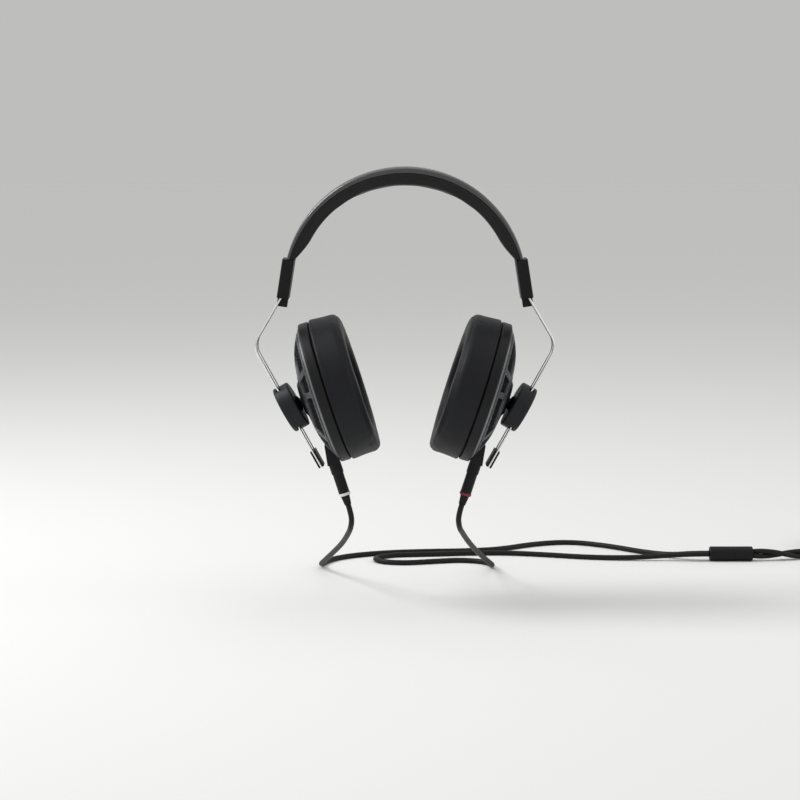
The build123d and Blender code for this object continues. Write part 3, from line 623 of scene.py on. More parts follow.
def carried_frames(points: Sequence[Vector]) -> list[tuple[Vector, Vector]]:
    """Two cross directions at each point of a line, carried along it without twist.

    Args:
        points: The line.

    Returns:
        A pair of unit vectors for each point.
    """
    frames = []
    across = None
    for index in range(len(points)):
        before, after = points[max(index - 1, 0)], points[min(index + 1, len(points) - 1)]
        ahead = (after - before).normalized()
        if across is None:
            across = ahead.orthogonal().normalized()
        across = (across - ahead * across.dot(ahead)).normalized()
        frames.append((across, ahead.cross(across)))
    return frames


def tube_mesh(name: str, points: Sequence[Vector], radius: float, sides: int = 16) -> bpy.types.Mesh:
    """Round tube along a line.

    Args:
        name: The mesh's name.
        points: The line.
        radius: The tube's radius.
        sides: Points round it.

    Returns:
        The mesh.
    """
    rows = []
    for point, (across, up) in zip(points, carried_frames(points)):
        angles = (2 * math.pi * k / sides for k in range(sides))
        rows.append([point + (across * math.cos(a) + up * math.sin(a)) * radius for a in angles])
    return grid_mesh(name, rows, around=False)


def strand_line(points: Sequence[Vector], offset: float, pitch: float, phase: float) -> list[Vector]:
    """A strand's own line, wound round a middle line.

    Args:
        points: The middle line.
        offset: Distance of the strand from it.
        pitch: Length of one whole turn.
        phase: Angle at the start.

    Returns:
        The strand's points.
    """
    travelled = 0.0
    line = []
    previous = points[0]
    for point, (across, up) in zip(points, carried_frames(points)):
        travelled += (point - previous).length
        previous = point
        angle = phase + 2 * math.pi * travelled / pitch
        line.append(point + (across * math.cos(angle) + up * math.sin(angle)) * offset)
    return line


def capsule_mesh(name: str, start: Vector, end: Vector, radius: float) -> bpy.types.Mesh:
    """A stitch: a short rod with tapered ends."""
    shares = ((0.0, 0.35), (0.12, 0.85), (0.5, 1.0), (0.88, 0.85), (1.0, 0.35))
    points = [start.lerp(end, share) for share, _ in shares]
    sides = 6
    rows = []
    for (point, (across, up)), (_, size) in zip(zip(points, carried_frames(points)), shares):
        angles = (2 * math.pi * k / sides for k in range(sides))
        rows.append([point + (across * math.cos(a) + up * math.sin(a)) * radius * size for a in angles])
    return grid_mesh(name, rows, around=False)


def stitched(name: str, line: Sequence[Vector], pitch: float, length: float, radius: float) -> bpy.types.Mesh:
    """Stitches along a line of points.

    Args:
        name: The mesh's name.
        line: The seam, with points closer together than a stitch.
        pitch: From one stitch to the next.
        length: Length of a stitch.
        radius: Radius of the thread.

    Returns:
        The mesh.
    """
    lengths = [0.0]
    for before, after in zip(line, line[1:]):
        lengths.append(lengths[-1] + (after - before).length)
    table = np.array([list(point) for point in line])
    count = int(lengths[-1] / pitch)

    def at(distance: float) -> Vector:
        """The point this far along the seam."""
        return Vector([float(np.interp(distance, lengths, table[:, axis])) for axis in range(3)])

    slack = (lengths[-1] - count * pitch) / 2
    starts = [slack + pitch * (index + 0.5) - length / 2 for index in range(count)]
    stitches = [capsule_mesh("stitch", at(start), at(start + length), radius) for start in starts]
    return joined_mesh(name, stitches)


def smooth_steps(value: float, low: float, high: float) -> float:
    """Smoothstep of a value between two limits."""
    share = min(max((value - low) / (high - low), 0.0), 1.0)
    return share * share * (3 - 2 * share)


def rounded_outline(
    half: float, low: float, high: float, corners: tuple[float, float], count: int
) -> list[tuple[float, float]]:
    """Rounded rectangle, drawn from the middle of its underside.

    Args:
        half: Half its width.
        low: Its underside.
        high: Its top.
        corners: Corner radii below and above.
        count: Points on each stretch.

    Returns:
        Points as across, height, counter-clockwise.
    """
    below, above = corners
    outline = [((half - below) * k / count, low) for k in range(count)]
    for k in range(count + 1):
        angle = -math.pi / 2 + math.pi / 2 * k / count
        outline.append((half - below + below * math.cos(angle), low + below + below * math.sin(angle)))
    side = high - above - low - below
    outline += [(half, low + below + side * k / count) for k in range(1, count)]
    for k in range(count + 1):
        angle = math.pi / 2 * k / count
        outline.append((half - above + above * math.cos(angle), high - above + above * math.sin(angle)))
    outline += [((half - above) * (1 - k / count), high) for k in range(1, count + 1)]
    return outline + [(-across, height) for across, height in reversed(outline[1:-1])]


# ---------------------------------------------------------------------------
# Cushions
# ---------------------------------------------------------------------------
@dataclass(frozen=True)
class Puff:
    """How a cushion is blown up by a short cloth simulation.

    Attributes:
        voxel: Size of the simulated mesh's cells.
        pressure: Pressure inside.
        frames: Frames that it runs.
        reach: The furthest that a point may move.
    """

    voxel: float = 4.5 * MM
    pressure: float = 4.0
    frames: int = 20
    reach: float = 2.5 * MM

    def run(self, mesh: bpy.types.Mesh) -> BVHTree:
        """Swell a copy of a closed mesh.

        Args:
            mesh: The cushion before it is filled.

        Returns:
            The swollen skin, to lay a finer mesh on.
        """
        scene = bpy.context.scene
        body = bpy.data.objects.new("puff", mesh.copy())
        scene.collection.objects.link(body)
        remesh = body.modifiers.new("remesh", "REMESH")
        remesh.mode, remesh.voxel_size = "VOXEL", self.voxel
        self.bake_down(body)
        rest = [vertex.co.copy() for vertex in body.data.vertices]
        cloth = body.modifiers.new("cloth", "CLOTH")
        cloth.settings.use_pressure = True
        cloth.settings.uniform_pressure_force = self.pressure
        cloth.settings.effector_weights.gravity = 0.0
        cloth.settings.quality = 5
        for step in range(1, self.frames + 1):
            scene.frame_set(step)
        self.bake_down(body)
        scene.frame_set(1)
        for vertex, start in zip(body.data.vertices, rest):
            shift = vertex.co - start
            if shift.length > self.reach:
                vertex.co = start + shift.normalized() * self.reach
        body.modifiers.new("smooth", "SUBSURF").levels = 1
        skin = BVHTree.FromObject(body, bpy.context.evaluated_depsgraph_get())
        bpy.data.objects.remove(body)
        return skin

    @staticmethod
    def bake_down(body: bpy.types.Object) -> None:
        """Apply every modifier of an object."""
        held = body.evaluated_get(bpy.context.evaluated_depsgraph_get())
        mesh = bpy.data.meshes.new_from_object(held)
        body.modifiers.clear()
        body.data = mesh


def laid_on(skin: BVHTree, mesh: bpy.types.Mesh, reach: float, rounds: int = 40) -> None:
    """Swell a fine mesh towards a swollen skin, evenly, along its own normals.

    Args:
        skin: The swollen skin.
        mesh: The fine mesh, changed in place.
        reach: How far along its normal a point looks for the skin, each way.
        rounds: How many times the swelling is evened out between neighbours.
    """
    shifts = np.zeros(len(mesh.vertices))
    for vertex in mesh.vertices:
        normal = vertex.normal
        hit = skin.ray_cast(vertex.co - normal * reach, normal, 2 * reach)[0]
        if hit is not None:
            shifts[vertex.index] = (hit - vertex.co).dot(normal)
    edges = np.array([tuple(edge.vertices) for edge in mesh.edges])
    degree = np.maximum(np.bincount(edges.ravel(), minlength=len(shifts)), 1)
    for _ in range(rounds):
        total = np.bincount(edges[:, 0], shifts[edges[:, 1]], len(shifts))
        total += np.bincount(edges[:, 1], shifts[edges[:, 0]], len(shifts))
        shifts = (shifts + total / degree) / 2
    normals = [vertex.normal.copy() for vertex in mesh.vertices]
    for vertex, normal, shift in zip(mesh.vertices, normals, shifts):
        vertex.co += normal * float(shift)
    mesh.update()


# ---------------------------------------------------------------------------
# Headband
# ---------------------------------------------------------------------------
@dataclass
class Headband:
    """The leather cover over the spring, the cushion under it, and their stitching.

    Sizes are metres. Angles are measured about the arch's centre, up from +X.
    """

    arch_centre: float = -76.0 * MM
    pad_radius: float = 76.0 * MM
    strip_inner: float = 83.9 * MM
    strip_outer: float = 84.7 * MM
    cover_radius: float = 85.7 * MM
    cover_centre: float = -72.8 * MM
    crown_width: float = 38.0 * MM
    end_width: float = 25.0 * MM
    crown_flat: float = 25.0 * MM
    taper_end: float = 78.0 * MM
    block_top: tuple[float, float] = (81.614 * MM, -52.288 * MM)
    block_tilt: float = 8.9
    block_half: float = 4.2 * MM
    pad_thins_at: float = 29.0
    seam_inset: float = 3.6 * MM
    spring_half: float = 10.0 * MM
    columns: int = 240

    def half_width(self, x: float) -> float:
        """Half the band's width at a place along X."""
        share = (abs(x) - self.crown_flat) / (self.taper_end - self.crown_flat)
        share = min(max(share, 0.0), 1.0)
        return (self.crown_width + (self.end_width - self.crown_width) * share) / 2

    def end_angle(self, radius: float) -> float:
        """Angle at which a circle about the arch's centre meets the block's top face."""
        tilt = math.radians(self.block_tilt)
        out = Vector((math.cos(tilt), math.sin(tilt)))
        top = Vector((self.block_top[0], self.block_top[1] - self.arch_centre))
        along = top.dot(out)
        step = -along + math.sqrt(along**2 - top.length_squared + radius**2)
        spot = top + out * step
        return math.atan2(spot.y, spot.x)

    def cover_top(self, angle: float) -> float:
        """Radius of the cover's outer face, about the arch's centre."""
        rise = self.cover_centre - self.arch_centre
        across = rise * math.cos(angle)
        return rise * math.sin(angle) + math.sqrt(self.cover_radius**2 - across**2)

    def pad_bottom(self, angle: float) -> float:
        """Radius of the pad's underside, which comes out to the block's inner edge."""
        tilt = math.radians(self.block_tilt)
        inner = Vector(self.block_top) - Vector((math.cos(tilt), math.sin(tilt))) * self.block_half
        corner = Vector((inner.x, inner.y - self.arch_centre))
        low = math.atan2(corner.y, corner.x)
        share = (math.radians(self.pad_thins_at) - angle) / (math.radians(self.pad_thins_at) - low)
        share = min(max(share, 0.0), 1.0)
        return self.pad_radius + (corner.length - self.pad_radius) * share**2

    def spot(self, share: float, radius: float, across: float) -> Vector:
        """A point of the band.

        Args:
            share: From -1 at the left block, through 0 at the crown, to 1 at the right one.
            radius: Distance from the arch's centre.
            across: Distance from the middle plane.

        Returns:
            The point.
        """
        low = self.end_angle(radius)
        angle = math.pi / 2 - (math.pi / 2 - low) * share
        x, z = radius * math.cos(angle), self.arch_centre + radius * math.sin(angle)
        return Vector((x, across, z))

    def angle(self, share: float) -> float:
        """Angle above +X at the middle of the band, the same on both sides."""
        low = self.end_angle(self.strip_outer)
        return math.pi / 2 - (math.pi / 2 - low) * abs(share)

    def swept(
        self, name: str, section: Callable[[float], list[tuple[float, float]]], columns: int
    ) -> bpy.types.Mesh:
        """Sweep a section along the arch.

        Args:
            name: The mesh's name.
            section: Gives the section at a share of the way, as across and radius.
            columns: Sections along the arch.

        Returns:
            The mesh.
        """
        rows = []
        for column in range(columns + 1):
            share = 2 * column / columns - 1
            rows.append([self.spot(share, radius, across) for across, radius in section(share)])
        return grid_mesh(name, rows, around=False)

    def beside_spring(self, across: float) -> float:
        """How far the leather closes in over half the spring's thickness, beside the spring."""
        edge = self.spring_half + 0.6 * MM
        closing = (self.strip_outer - self.strip_inner) / 2
        return closing * smooth_steps(abs(across), edge, edge + 0.8 * MM)

    def cover_section(self, share: float) -> list[tuple[float, float]]:
        """The cover's section: crowned, with a seam groove near each edge."""
        half = self.half_width(self.spot(share, self.strip_outer, 0).x)
        low, high = self.strip_outer + 0.05 * MM, self.cover_top(self.angle(share))
        depth = high - low
        outline = rounded_outline(half, low, high, (0.3 * MM, min(3.3 * MM, depth * 0.78)), 12)
        shaped = []
        for across, radius in outline:
            top = smooth_steps(radius, low + 0.5 * depth, high)
            radius -= self.beside_spring(across) * (1 - smooth_steps(radius, low, low + 0.5 * depth))
            crown = 0.35 * MM * (across / half) ** 2 * top
            off = (abs(across) - (half - self.seam_inset)) / (0.55 * MM)
            groove = 0.35 * MM * math.exp(-off * off) * top
            shaped.append((across, radius - crown - groove))
        return shaped

    def pad_section(self, share: float, inset: float = 0.0) -> list[tuple[float, float]]:
        """The pad's section: round edges below, and flat against the strip above."""
        half = self.half_width(self.spot(share, self.strip_inner, 0).x) - 0.3 * MM - inset
        low = self.pad_bottom(self.angle(share)) + inset
        high = self.strip_inner - 0.05 * MM
        depth = high - low
        corner = min(3.4 * MM, depth * 0.62)
        upper_corner = min(0.5 * MM, depth * 0.2)
        outline = rounded_outline(half, low, high, (corner, upper_corner), 10)
        return [
            (across, radius + self.beside_spring(across) * smooth_steps(radius, high - 0.4 * depth, high))
            for across, radius in outline
        ]

    def seam_groove(self, mesh: bpy.types.Mesh) -> None:
        """Press the pad's side seams in, and pull small puckers towards them."""
        for vertex in mesh.vertices:
            x, y, z = vertex.co
            radius = math.hypot(x, z - self.arch_centre)
            half = self.half_width(x)
            angle = math.atan2(z - self.arch_centre, x)
            seam = self.strip_inner - 1.9 * MM
            near = math.exp(-(((radius - seam) / (0.5 * MM)) ** 2))
            side = smooth_steps(abs(y), half * 0.8, half * 0.95)
            puckers = 0.5 + 0.5 * math.sin(angle * 170 + 3 * math.sin(angle * 9))
            below = smooth_steps(seam - radius, 0.0, 1.0 * MM) * smooth_steps(4.5 * MM, seam - radius, 0.0)
            press = side * (0.45 * MM * near + 0.12 * MM * puckers * below)
            vertex.co.y = y - math.copysign(press, y)
        mesh.update()

    def build(self) -> None:
        """Make the cover, the cushion and the stitches."""
        cover = new_piece(
            "headband_leather", self.swept("headband_leather", self.cover_section, self.columns), LEATHER
        )
        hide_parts("headband_cover")
        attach(cover, "headband")

        skin_mesh = self.swept("headband_cushion", self.pad_section, self.columns)
        start = self.swept("pad_start", lambda share: self.pad_section(share, 0.5 * MM), 90)
        puff = Puff(voxel=4.0 * MM, reach=1.2 * MM)
        laid_on(puff.run(start), skin_mesh, 1.2 * MM)
        bpy.data.meshes.remove(start)
        self.seam_groove(skin_mesh)
        cushion = new_piece("headband_cushion", skin_mesh, SOFT_LEATHER)
        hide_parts("headband_pad")
        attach(cushion, "headband")

        seams = []
        for hand in (-1, 1):
            line = []
            for column in range(self.columns * 2 + 1):
                share = 0.985 * (column / self.columns - 1)
                half = self.half_width(self.spot(share, self.strip_outer, 0).x)
                across = half - self.seam_inset
                crown = 0.35 * MM * (across / half) ** 2
                radius = self.cover_top(self.angle(share)) - crown - 0.22 * MM
                line.append(self.spot(share, radius, hand * across))
            seams.append(stitched("band_seam", line, 3.1 * MM, 2.3 * MM, 0.26 * MM))
        stitches = new_piece("headband_stitches", joined_mesh("headband_stitches", seams), THREAD)
        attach(stitches, "headband")
        log.info("headband: cover, cushion and stitches")


# ---------------------------------------------------------------------------
# Cups
# ---------------------------------------------------------------------------
@dataclass
class Cup:
    """One ear cup: its cushion, the wire mesh under the cage, and its materials.

    Sizes are metres, in the cup's own frame: z outward from the baffle, y up, x forward.
    """

    side: Side
    origin: Vector = field(default_factory=lambda: Vector((60.858, 0.0, -147.464)) * MM)
    tilt: float = 17.8
    pad_radius: float = 52.0 * MM
    hole_radius: float = 31.0 * MM
    pad_back: float = -8.2 * MM
    pad_front: float = -31.6 * MM
    front_rounding: float = 7.5 * MM
    back_rounding: float = 2.6 * MM
    hole_rounding: float = 6.0 * MM
    seam_behind_front: float = 3.1 * MM
    seam_depth: float = 0.42 * MM
    gather_depth: float = 0.13 * MM
    hole_fold_depth: float = 0.22 * MM
    back_gather_depth: float = 0.16 * MM
    ring_outer: float = 48.0 * MM
    ring_front: float = -9.9 * MM
    mesh_radius: float = 43.7 * MM
    mesh_hub: float = 10.4 * MM
    mesh_profile: tuple = ((22.4, 7.75), (35.0, 5.4), (43.9, 1.8))
    mesh_pitch: float = 1.7 * MM
    wire_radius: float = 0.24 * MM
    barrel_end: float = -75.0 * MM
    plug_height: float = 5.0 * MM
    barrel_radius: float = 3.9 * MM
    segments: int = 168

    def __post_init__(self) -> None:
        """Work out the cup's frame on the right side."""
        angle = math.radians(self.tilt)
        self.outward = Vector((math.cos(angle), 0.0, -math.sin(angle)))
        self.up = Vector((math.sin(angle), 0.0, math.cos(angle)))
        self.forward = Vector((0.0, 1.0, 0.0))

    def place(self, x: float, y: float, z: float) -> Vector:
        """A point of the cup's frame, in the object's frame on this side."""
        point = self.origin + self.forward * x + self.up * y + self.outward * z
        return self.side.place(point)

    @property
    def seam(self) -> float:
        """Where the cushion's front seam lies, along the cup's axis."""
        return self.pad_front + self.seam_behind_front

    @property
    def axis(self) -> tuple[float, float, float]:
        """The cup's axis on this side."""
        return tuple(self.side.place(self.outward))

    @property
    def centre(self) -> tuple[float, float, float]:
        """The cup's centre on this side."""
        return tuple(self.side.place(self.origin))

    def lathe(self, name: str, outline: Profile, segments: int) -> bpy.types.Mesh:
        """Turn an outline of radius and height about the cup's axis.

        Args:
            name: The mesh's name.
            outline: A closed outline.
            segments: Steps round the axis.

        Returns:
            The mesh.
        """
        rows = []
        for step in range(segments):
            angle = 2 * math.pi * step / segments
            rows.append([self.place(r * math.cos(angle), r * math.sin(angle), z) for r, z in outline])
        return grid_mesh(name, rows, around=True)

    def pad_outline(self, inset: float = 0.0) -> list[tuple[float, float]]:
        """The ear cushion's section: round front edges, and a tuck behind its ring."""
        wall, hole = self.pad_radius - inset, self.hole_radius + inset
        front = self.pad_front + inset
        rounding = self.front_rounding
        flat_steps = 5
        outline = [(self.ring_outer + 0.5 * MM, self.pad_back - inset)]
        back_round = self.back_rounding
        for step in range(9):
            angle = math.pi / 2 * (1 - step / 8)
            across = wall - back_round * (1 - math.cos(angle))
            outline.append((across, self.pad_back - inset - back_round * (1 - math.sin(angle))))
        start, end = self.pad_back - back_round, front + rounding
        outline += [(wall, start + (end - start) * k / 8) for k in range(1, 8)]
        for step in range(13):
            angle = math.pi / 2 * step / 12
            outline.append((wall - rounding * (1 - math.cos(angle)), end - rounding * math.sin(angle)))
        inner_round = self.hole_rounding
        top_start, top_end = wall - rounding, hole + inner_round
        top_step = (top_end - top_start) / flat_steps
        outline += [(top_start + top_step * k, front) for k in range(1, flat_steps)]
        for step in range(11):
            angle = math.pi / 2 * (1 - step / 10)
            outline.append(
                (hole + inner_round * (1 - math.cos(angle)), front + inner_round * (1 - math.sin(angle)))
            )
        lip = self.ring_front - 1.0 * MM
        start = front + inner_round
        outline += [(hole, start + (lip - start) * k / 6) for k in range(1, 7)]
        outline.append((hole + 1.2 * MM, lip + 1.0 * MM))
        outline.append((self.ring_outer, lip + 0.9 * MM))
        return outline

    def dress_cushion(self, mesh: bpy.types.Mesh) -> None:
        """Press in the seams of the cushion, and gather the leather towards them."""
        inverse = Matrix((self.side.place(self.forward), self.side.place(self.up), Vector(self.axis)))
        centre = Vector(self.centre)
        rng = np.random.default_rng(11 if self.side is Side.RIGHT else 12)
        waves = [(int(n), rng.uniform(0, 2 * math.pi), rng.uniform(0.4, 1.0)) for n in (23, 37, 58, 91)]
        normals = [vertex.normal.copy() for vertex in mesh.vertices]
        for vertex, normal in zip(mesh.vertices, normals):
            x, y, z = inverse @ (vertex.co - centre)
            radius, angle = math.hypot(x, y), math.atan2(y, x)
            ripple = sum(size * math.sin(n * angle + phase) for n, phase, size in waves) / 3.0
            outer = smooth_steps(radius, 46.0 * MM, 48.5 * MM)
            near = math.exp(-(((z - self.seam) / (0.5 * MM)) ** 2)) * outer
            gather = math.exp(-(((z - self.seam) / (3.0 * MM)) ** 2)) * outer
            inner = smooth_steps(39.0 * MM, radius, 33.0 * MM)
            slack = math.exp(-(((z - self.pad_front - 5 * MM) / (5.0 * MM)) ** 2)) * inner
            back = math.exp(-(((z - self.pad_back + 1.5 * MM) / (1.8 * MM)) ** 2)) * outer
            press = self.seam_depth * near + self.gather_depth * ripple * gather
            press += self.hole_fold_depth * ripple * slack
            press += self.back_gather_depth * ripple * back
            vertex.co -= normal * press
        mesh.update()

    def build_cushion(self, puffed: BVHTree | None) -> None:
        """Make the ear cushion and its stitching.

        Args:
            puffed: The right cup's swollen skin, or None to leave the cushion as drawn.
        """
        label = self.side.label
        mesh = self.lathe(f"{label}_ear_cushion", self.pad_outline(), self.segments)
        if puffed is not None:
            for vertex in mesh.vertices:
                vertex.co.x *= self.side.value
            if self.side is Side.LEFT:
                mesh.flip_normals()
            mesh.update()
            laid_on(puffed, mesh, 2.0 * MM)
            for vertex in mesh.vertices:
                vertex.co.x *= self.side.value
            if self.side is Side.LEFT:
                mesh.flip_normals()
            mesh.update()
        self.dress_cushion(mesh)
        cushion = new_piece(f"{label}_ear_cushion", mesh, EAR_LEATHER)
        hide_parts(f"{label}_ear_pad")
        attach(cushion, f"{label}_cup")
        skin = BVHTree.FromObject(cushion, bpy.context.evaluated_depsgraph_get())
        line = []
        for step in range(721):
            angle = math.radians(step / 2)
            out = (math.cos(angle), math.sin(angle))
            far = self.place(out[0] * 60 * MM, out[1] * 60 * MM, self.seam)
            near = self.place(0, 0, self.seam)
            hit = skin.ray_cast(far, (near - far).normalized())[0]
            line.append(hit if hit is not None else far)
        mesh = stitched(
            f"{label}_ear_stitches", line, pitch=2.6 * MM, length=1.9 * MM, radius=0.2 * MM
        )
        stitches = new_piece(f"{label}_ear_stitches", mesh, THREAD)
        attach(stitches, f"{label}_cup")

    def dome(self, x: float, y: float) -> Vector | None:
        """A point of the wire mesh's dome, flat at its top.

        Args:
            x: Forward of the cup's axis.
            y: Above it.

        Returns:
            The point, or None over the hub.
        """
        radius = math.hypot(x, y)
        if radius < self.mesh_hub:
            return None
        squares = [(r * MM) ** 2 for r, _ in self.mesh_profile]
        heights = [height * MM for _, height in self.mesh_profile]
        here = max(radius**2, squares[0])
        first = (heights[1] - heights[0]) / (squares[1] - squares[0])
        second = (heights[2] - heights[1]) / (squares[2] - squares[1])
        bend = (second - first) / (squares[2] - squares[0])
        step = here - squares[0]
        return self.place(x, y, heights[0] + first * step + bend * step * (here - squares[1]))

    def build_grille(self) -> None:
        """Weave a fine wire mesh over the dome under the cage."""
        label = self.side.label
        axis = Vector(self.axis)
        lines = []
        count = int(self.mesh_radius / self.mesh_pitch)
        diagonal = math.sqrt(0.5)
        for lay in (1, -1):
            for index in range(-count, count + 1):
                offset = index * self.mesh_pitch
                half = math.sqrt(max(self.mesh_radius**2 - offset**2, 0.0))
                steps = max(int(2 * half / self.mesh_pitch), 1)
                line = []
                for step in range(steps + 1):
                    run = -half + 2 * half * step / steps
                    x, y = (run + lay * offset) * diagonal, (offset - lay * run) * diagonal
                    spot = self.dome(x, y)
                    if spot is not None:
                        weave = lay * self.wire_radius * (1 if (step + index) % 2 else -1)
                        line.append(spot + axis * weave * 0.5)
                        continue
                    lines.append(line)
                    line = []
                lines.append(line)
        wires = [tube_mesh("wire", line, self.wire_radius, 4) for line in lines if len(line) > 2]
        mesh = joined_mesh(f"{label}_grille_mesh", wires)
        grille = new_piece(f"{label}_grille_mesh", mesh, WIRE)
        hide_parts(f"{label}_grille")
        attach(grille, f"{label}_cup")

    def build_colour_ring(self) -> None:
        """Make the ring that marks the channel, at the plug barrel's end."""
        label = self.side.label
        rise, height = 0.35 * MM, 1.9 * MM
        inner, outer = self.barrel_radius - 0.3 * MM, self.barrel_radius + rise
        start = self.barrel_end + 0.1 * MM
        end, soft = start + height, 0.15 * MM
        outline = [(inner, start), (outer - soft, start), (outer, start + 0.2 * MM)]
        outline += [(outer, end - 0.2 * MM), (outer - soft, end), (inner, end)]
        rows = []
        for step in range(48):
            angle = 2 * math.pi * step / 48
            x, z = math.cos(angle), math.sin(angle)
            rows.append([self.place(r * x, y, self.plug_height + r * z) for r, y in outline])
        finish = RED_RING if self.side is Side.RIGHT else WHITE_RING
        mesh = grid_mesh(f"{label}_colour_ring", rows, around=True)
        band = new_piece(f"{label}_colour_ring", mesh, finish)
        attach(band, f"{label}_cup")

    def dress_nodes(self) -> None:
        """Give the cup's own CAD nodes their finishes."""
        label = self.side.label
        turned = {"centre": self.centre, "axis": self.axis}
        housing = Turned(
            f"{label}_housing_black", Tone.BLACK, Tone.BLACK_LIFT, 30.0, (0.34, 0.44), 0.24, **turned
        )
        socket = Turned(
            f"{label}_socket_black", Tone.BARREL, Tone.BARREL_LIFT, 40.0, (0.36, 0.46), metallic=0.4,
            **turned,
        )
        flange = Turned(
            f"{label}_flange_alloy", Tone.FLANGE, Tone.FLANGE_LIFT, 60.0, (0.3, 0.4), metallic=1.0,
            wear=0.0, radius=0.0002, mark=0.00001, **turned,
        )
        finishes = {
            "socket_ring": socket, "cage": GUNMETAL, "outer_magnet_plate": MAGNET,
            "inner_magnet_plate": MAGNET, "diaphragm": FILM, "baffle": flange,
            "housing_ring": housing, "cup_screws": SCREW_BLACK, "pad_ring": BLACK_MOULDED,
            "jack_housing": BLACK_MOULDED, "jack_socket": CONTACT, "plug_pin": CONTACT,
            "plug_barrel": BLACK_COAT, "strain_relief": RELIEF,
        }
        for name, finish in finishes.items():
            dress(f"{label}_{name}", finish)

    def build(self, puffed: BVHTree | None) -> None:
        """Make everything on this cup."""
        self.build_cushion(puffed)
        self.build_grille()
        self.build_colour_ring()
        self.dress_nodes()
        log.info("%s cup: cushion, stitches, grille, colour ring", self.side.label)


@dataclass
class Hanger:
    """One side's end block, rods, slider and pivot, which stay CAD nodes."""

    side: Side
    slider_centre: Vector = field(default_factory=lambda: Vector((75.579, 0.0, -154.317)) * MM)
    slider_tilt: float = 29.0

    def build(self) -> None:
        """Give the hanger's nodes their finishes."""
        label = self.side.label
        angle = math.radians(self.slider_tilt)
        axis = self.side.place(Vector((math.cos(angle), 0.0, -math.sin(angle))))
        slider = Turned(
            f"{label}_slider_charcoal", Tone.CHARCOAL, Tone.CHARCOAL_LIFT, 40.0, (0.36, 0.46),
            metallic=0.5, centre=tuple(self.side.place(self.slider_centre)), axis=tuple(axis),
        )
        finishes = {
            "end_block": BLACK_MOULDED, "rod_holder": BLACK_COAT, "hanger_rods": STEEL,
            "end_stop": BLACK_COAT, "slider_body": slider, "slider_cap": slider,
            "slider_bushes": BUSH, "pivot_stud": SCREW_BLACK, "pivot_liner": BUSH,
        }
        for name, finish in finishes.items():
            dress(f"{label}_{name}", finish)
        log.info("%s hanger dressed", label)


def dress(node: str, finish: Finish) -> None:
    """Give a CAD node's object a finish.

    Args:
        node: The node's name.
        finish: The finish.
    """
    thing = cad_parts[node]
    if not thing.material_slots:
        thing.data.materials.append(None)
    for slot in thing.material_slots:
        slot.material = finish.make()


# ---------------------------------------------------------------------------
# Cable
# ---------------------------------------------------------------------------
@dataclass
class Route:
    """A cord's line: a smooth spline with given control points."""

    name: str
    points: list[Vector]

    def line(self) -> list[Vector]:
        """The points that the spline gives, in order."""
        curve = bpy.data.curves.new(self.name, "CURVE")
        curve.dimensions = "3D"
        curve.resolution_u = 16
        spline = curve.splines.new("NURBS")
        spline.points.add(len(self.points) - 1)
        for spot, point in zip(spline.points, self.points):
            spot.co = (*point, 1.0)
        spline.order_u = 3
        spline.use_endpoint_u = True
        holder = bpy.data.objects.new(self.name, curve)
        bpy.context.scene.collection.objects.link(holder)
        mesh = bpy.data.meshes.new_from_object(
            holder.evaluated_get(bpy.context.evaluated_depsgraph_get())
        )
        line = [vertex.co.copy() for vertex in mesh.vertices]
        bpy.data.objects.remove(holder)
        bpy.data.curves.remove(curve)
        bpy.data.meshes.remove(mesh)
        if (line[0] - self.points[0]).length > (line[-1] - self.points[0]).length:
            line.reverse()
        return line


def cut_line(line: Sequence[Vector], start: float, end: float) -> list[Vector]:
    """The stretch of a line between two distances along it.

    Args:
        line: The whole line.
        start: Where the stretch starts.
        end: Where it ends.

    Returns:
        Its points, with both ends added.
    """
    stretch = []
    travelled = 0.0
    for before, after in zip(line, line[1:]):
        step = (after - before).length
        for mark in (start, end):
            if travelled < mark <= travelled + step and not (mark == start and start == 0.0):
                stretch.append(before.lerp(after, (mark - travelled) / step))
        travelled += step
        if start < travelled < end:
            stretch.append(after.copy())
    if start == 0.0:
        stretch.insert(0, line[0].copy())
    return stretch


def line_length(line: Sequence[Vector]) -> float:
    """Length of a line of points."""
    return sum((after - before).length for before, after in zip(line, line[1:]))


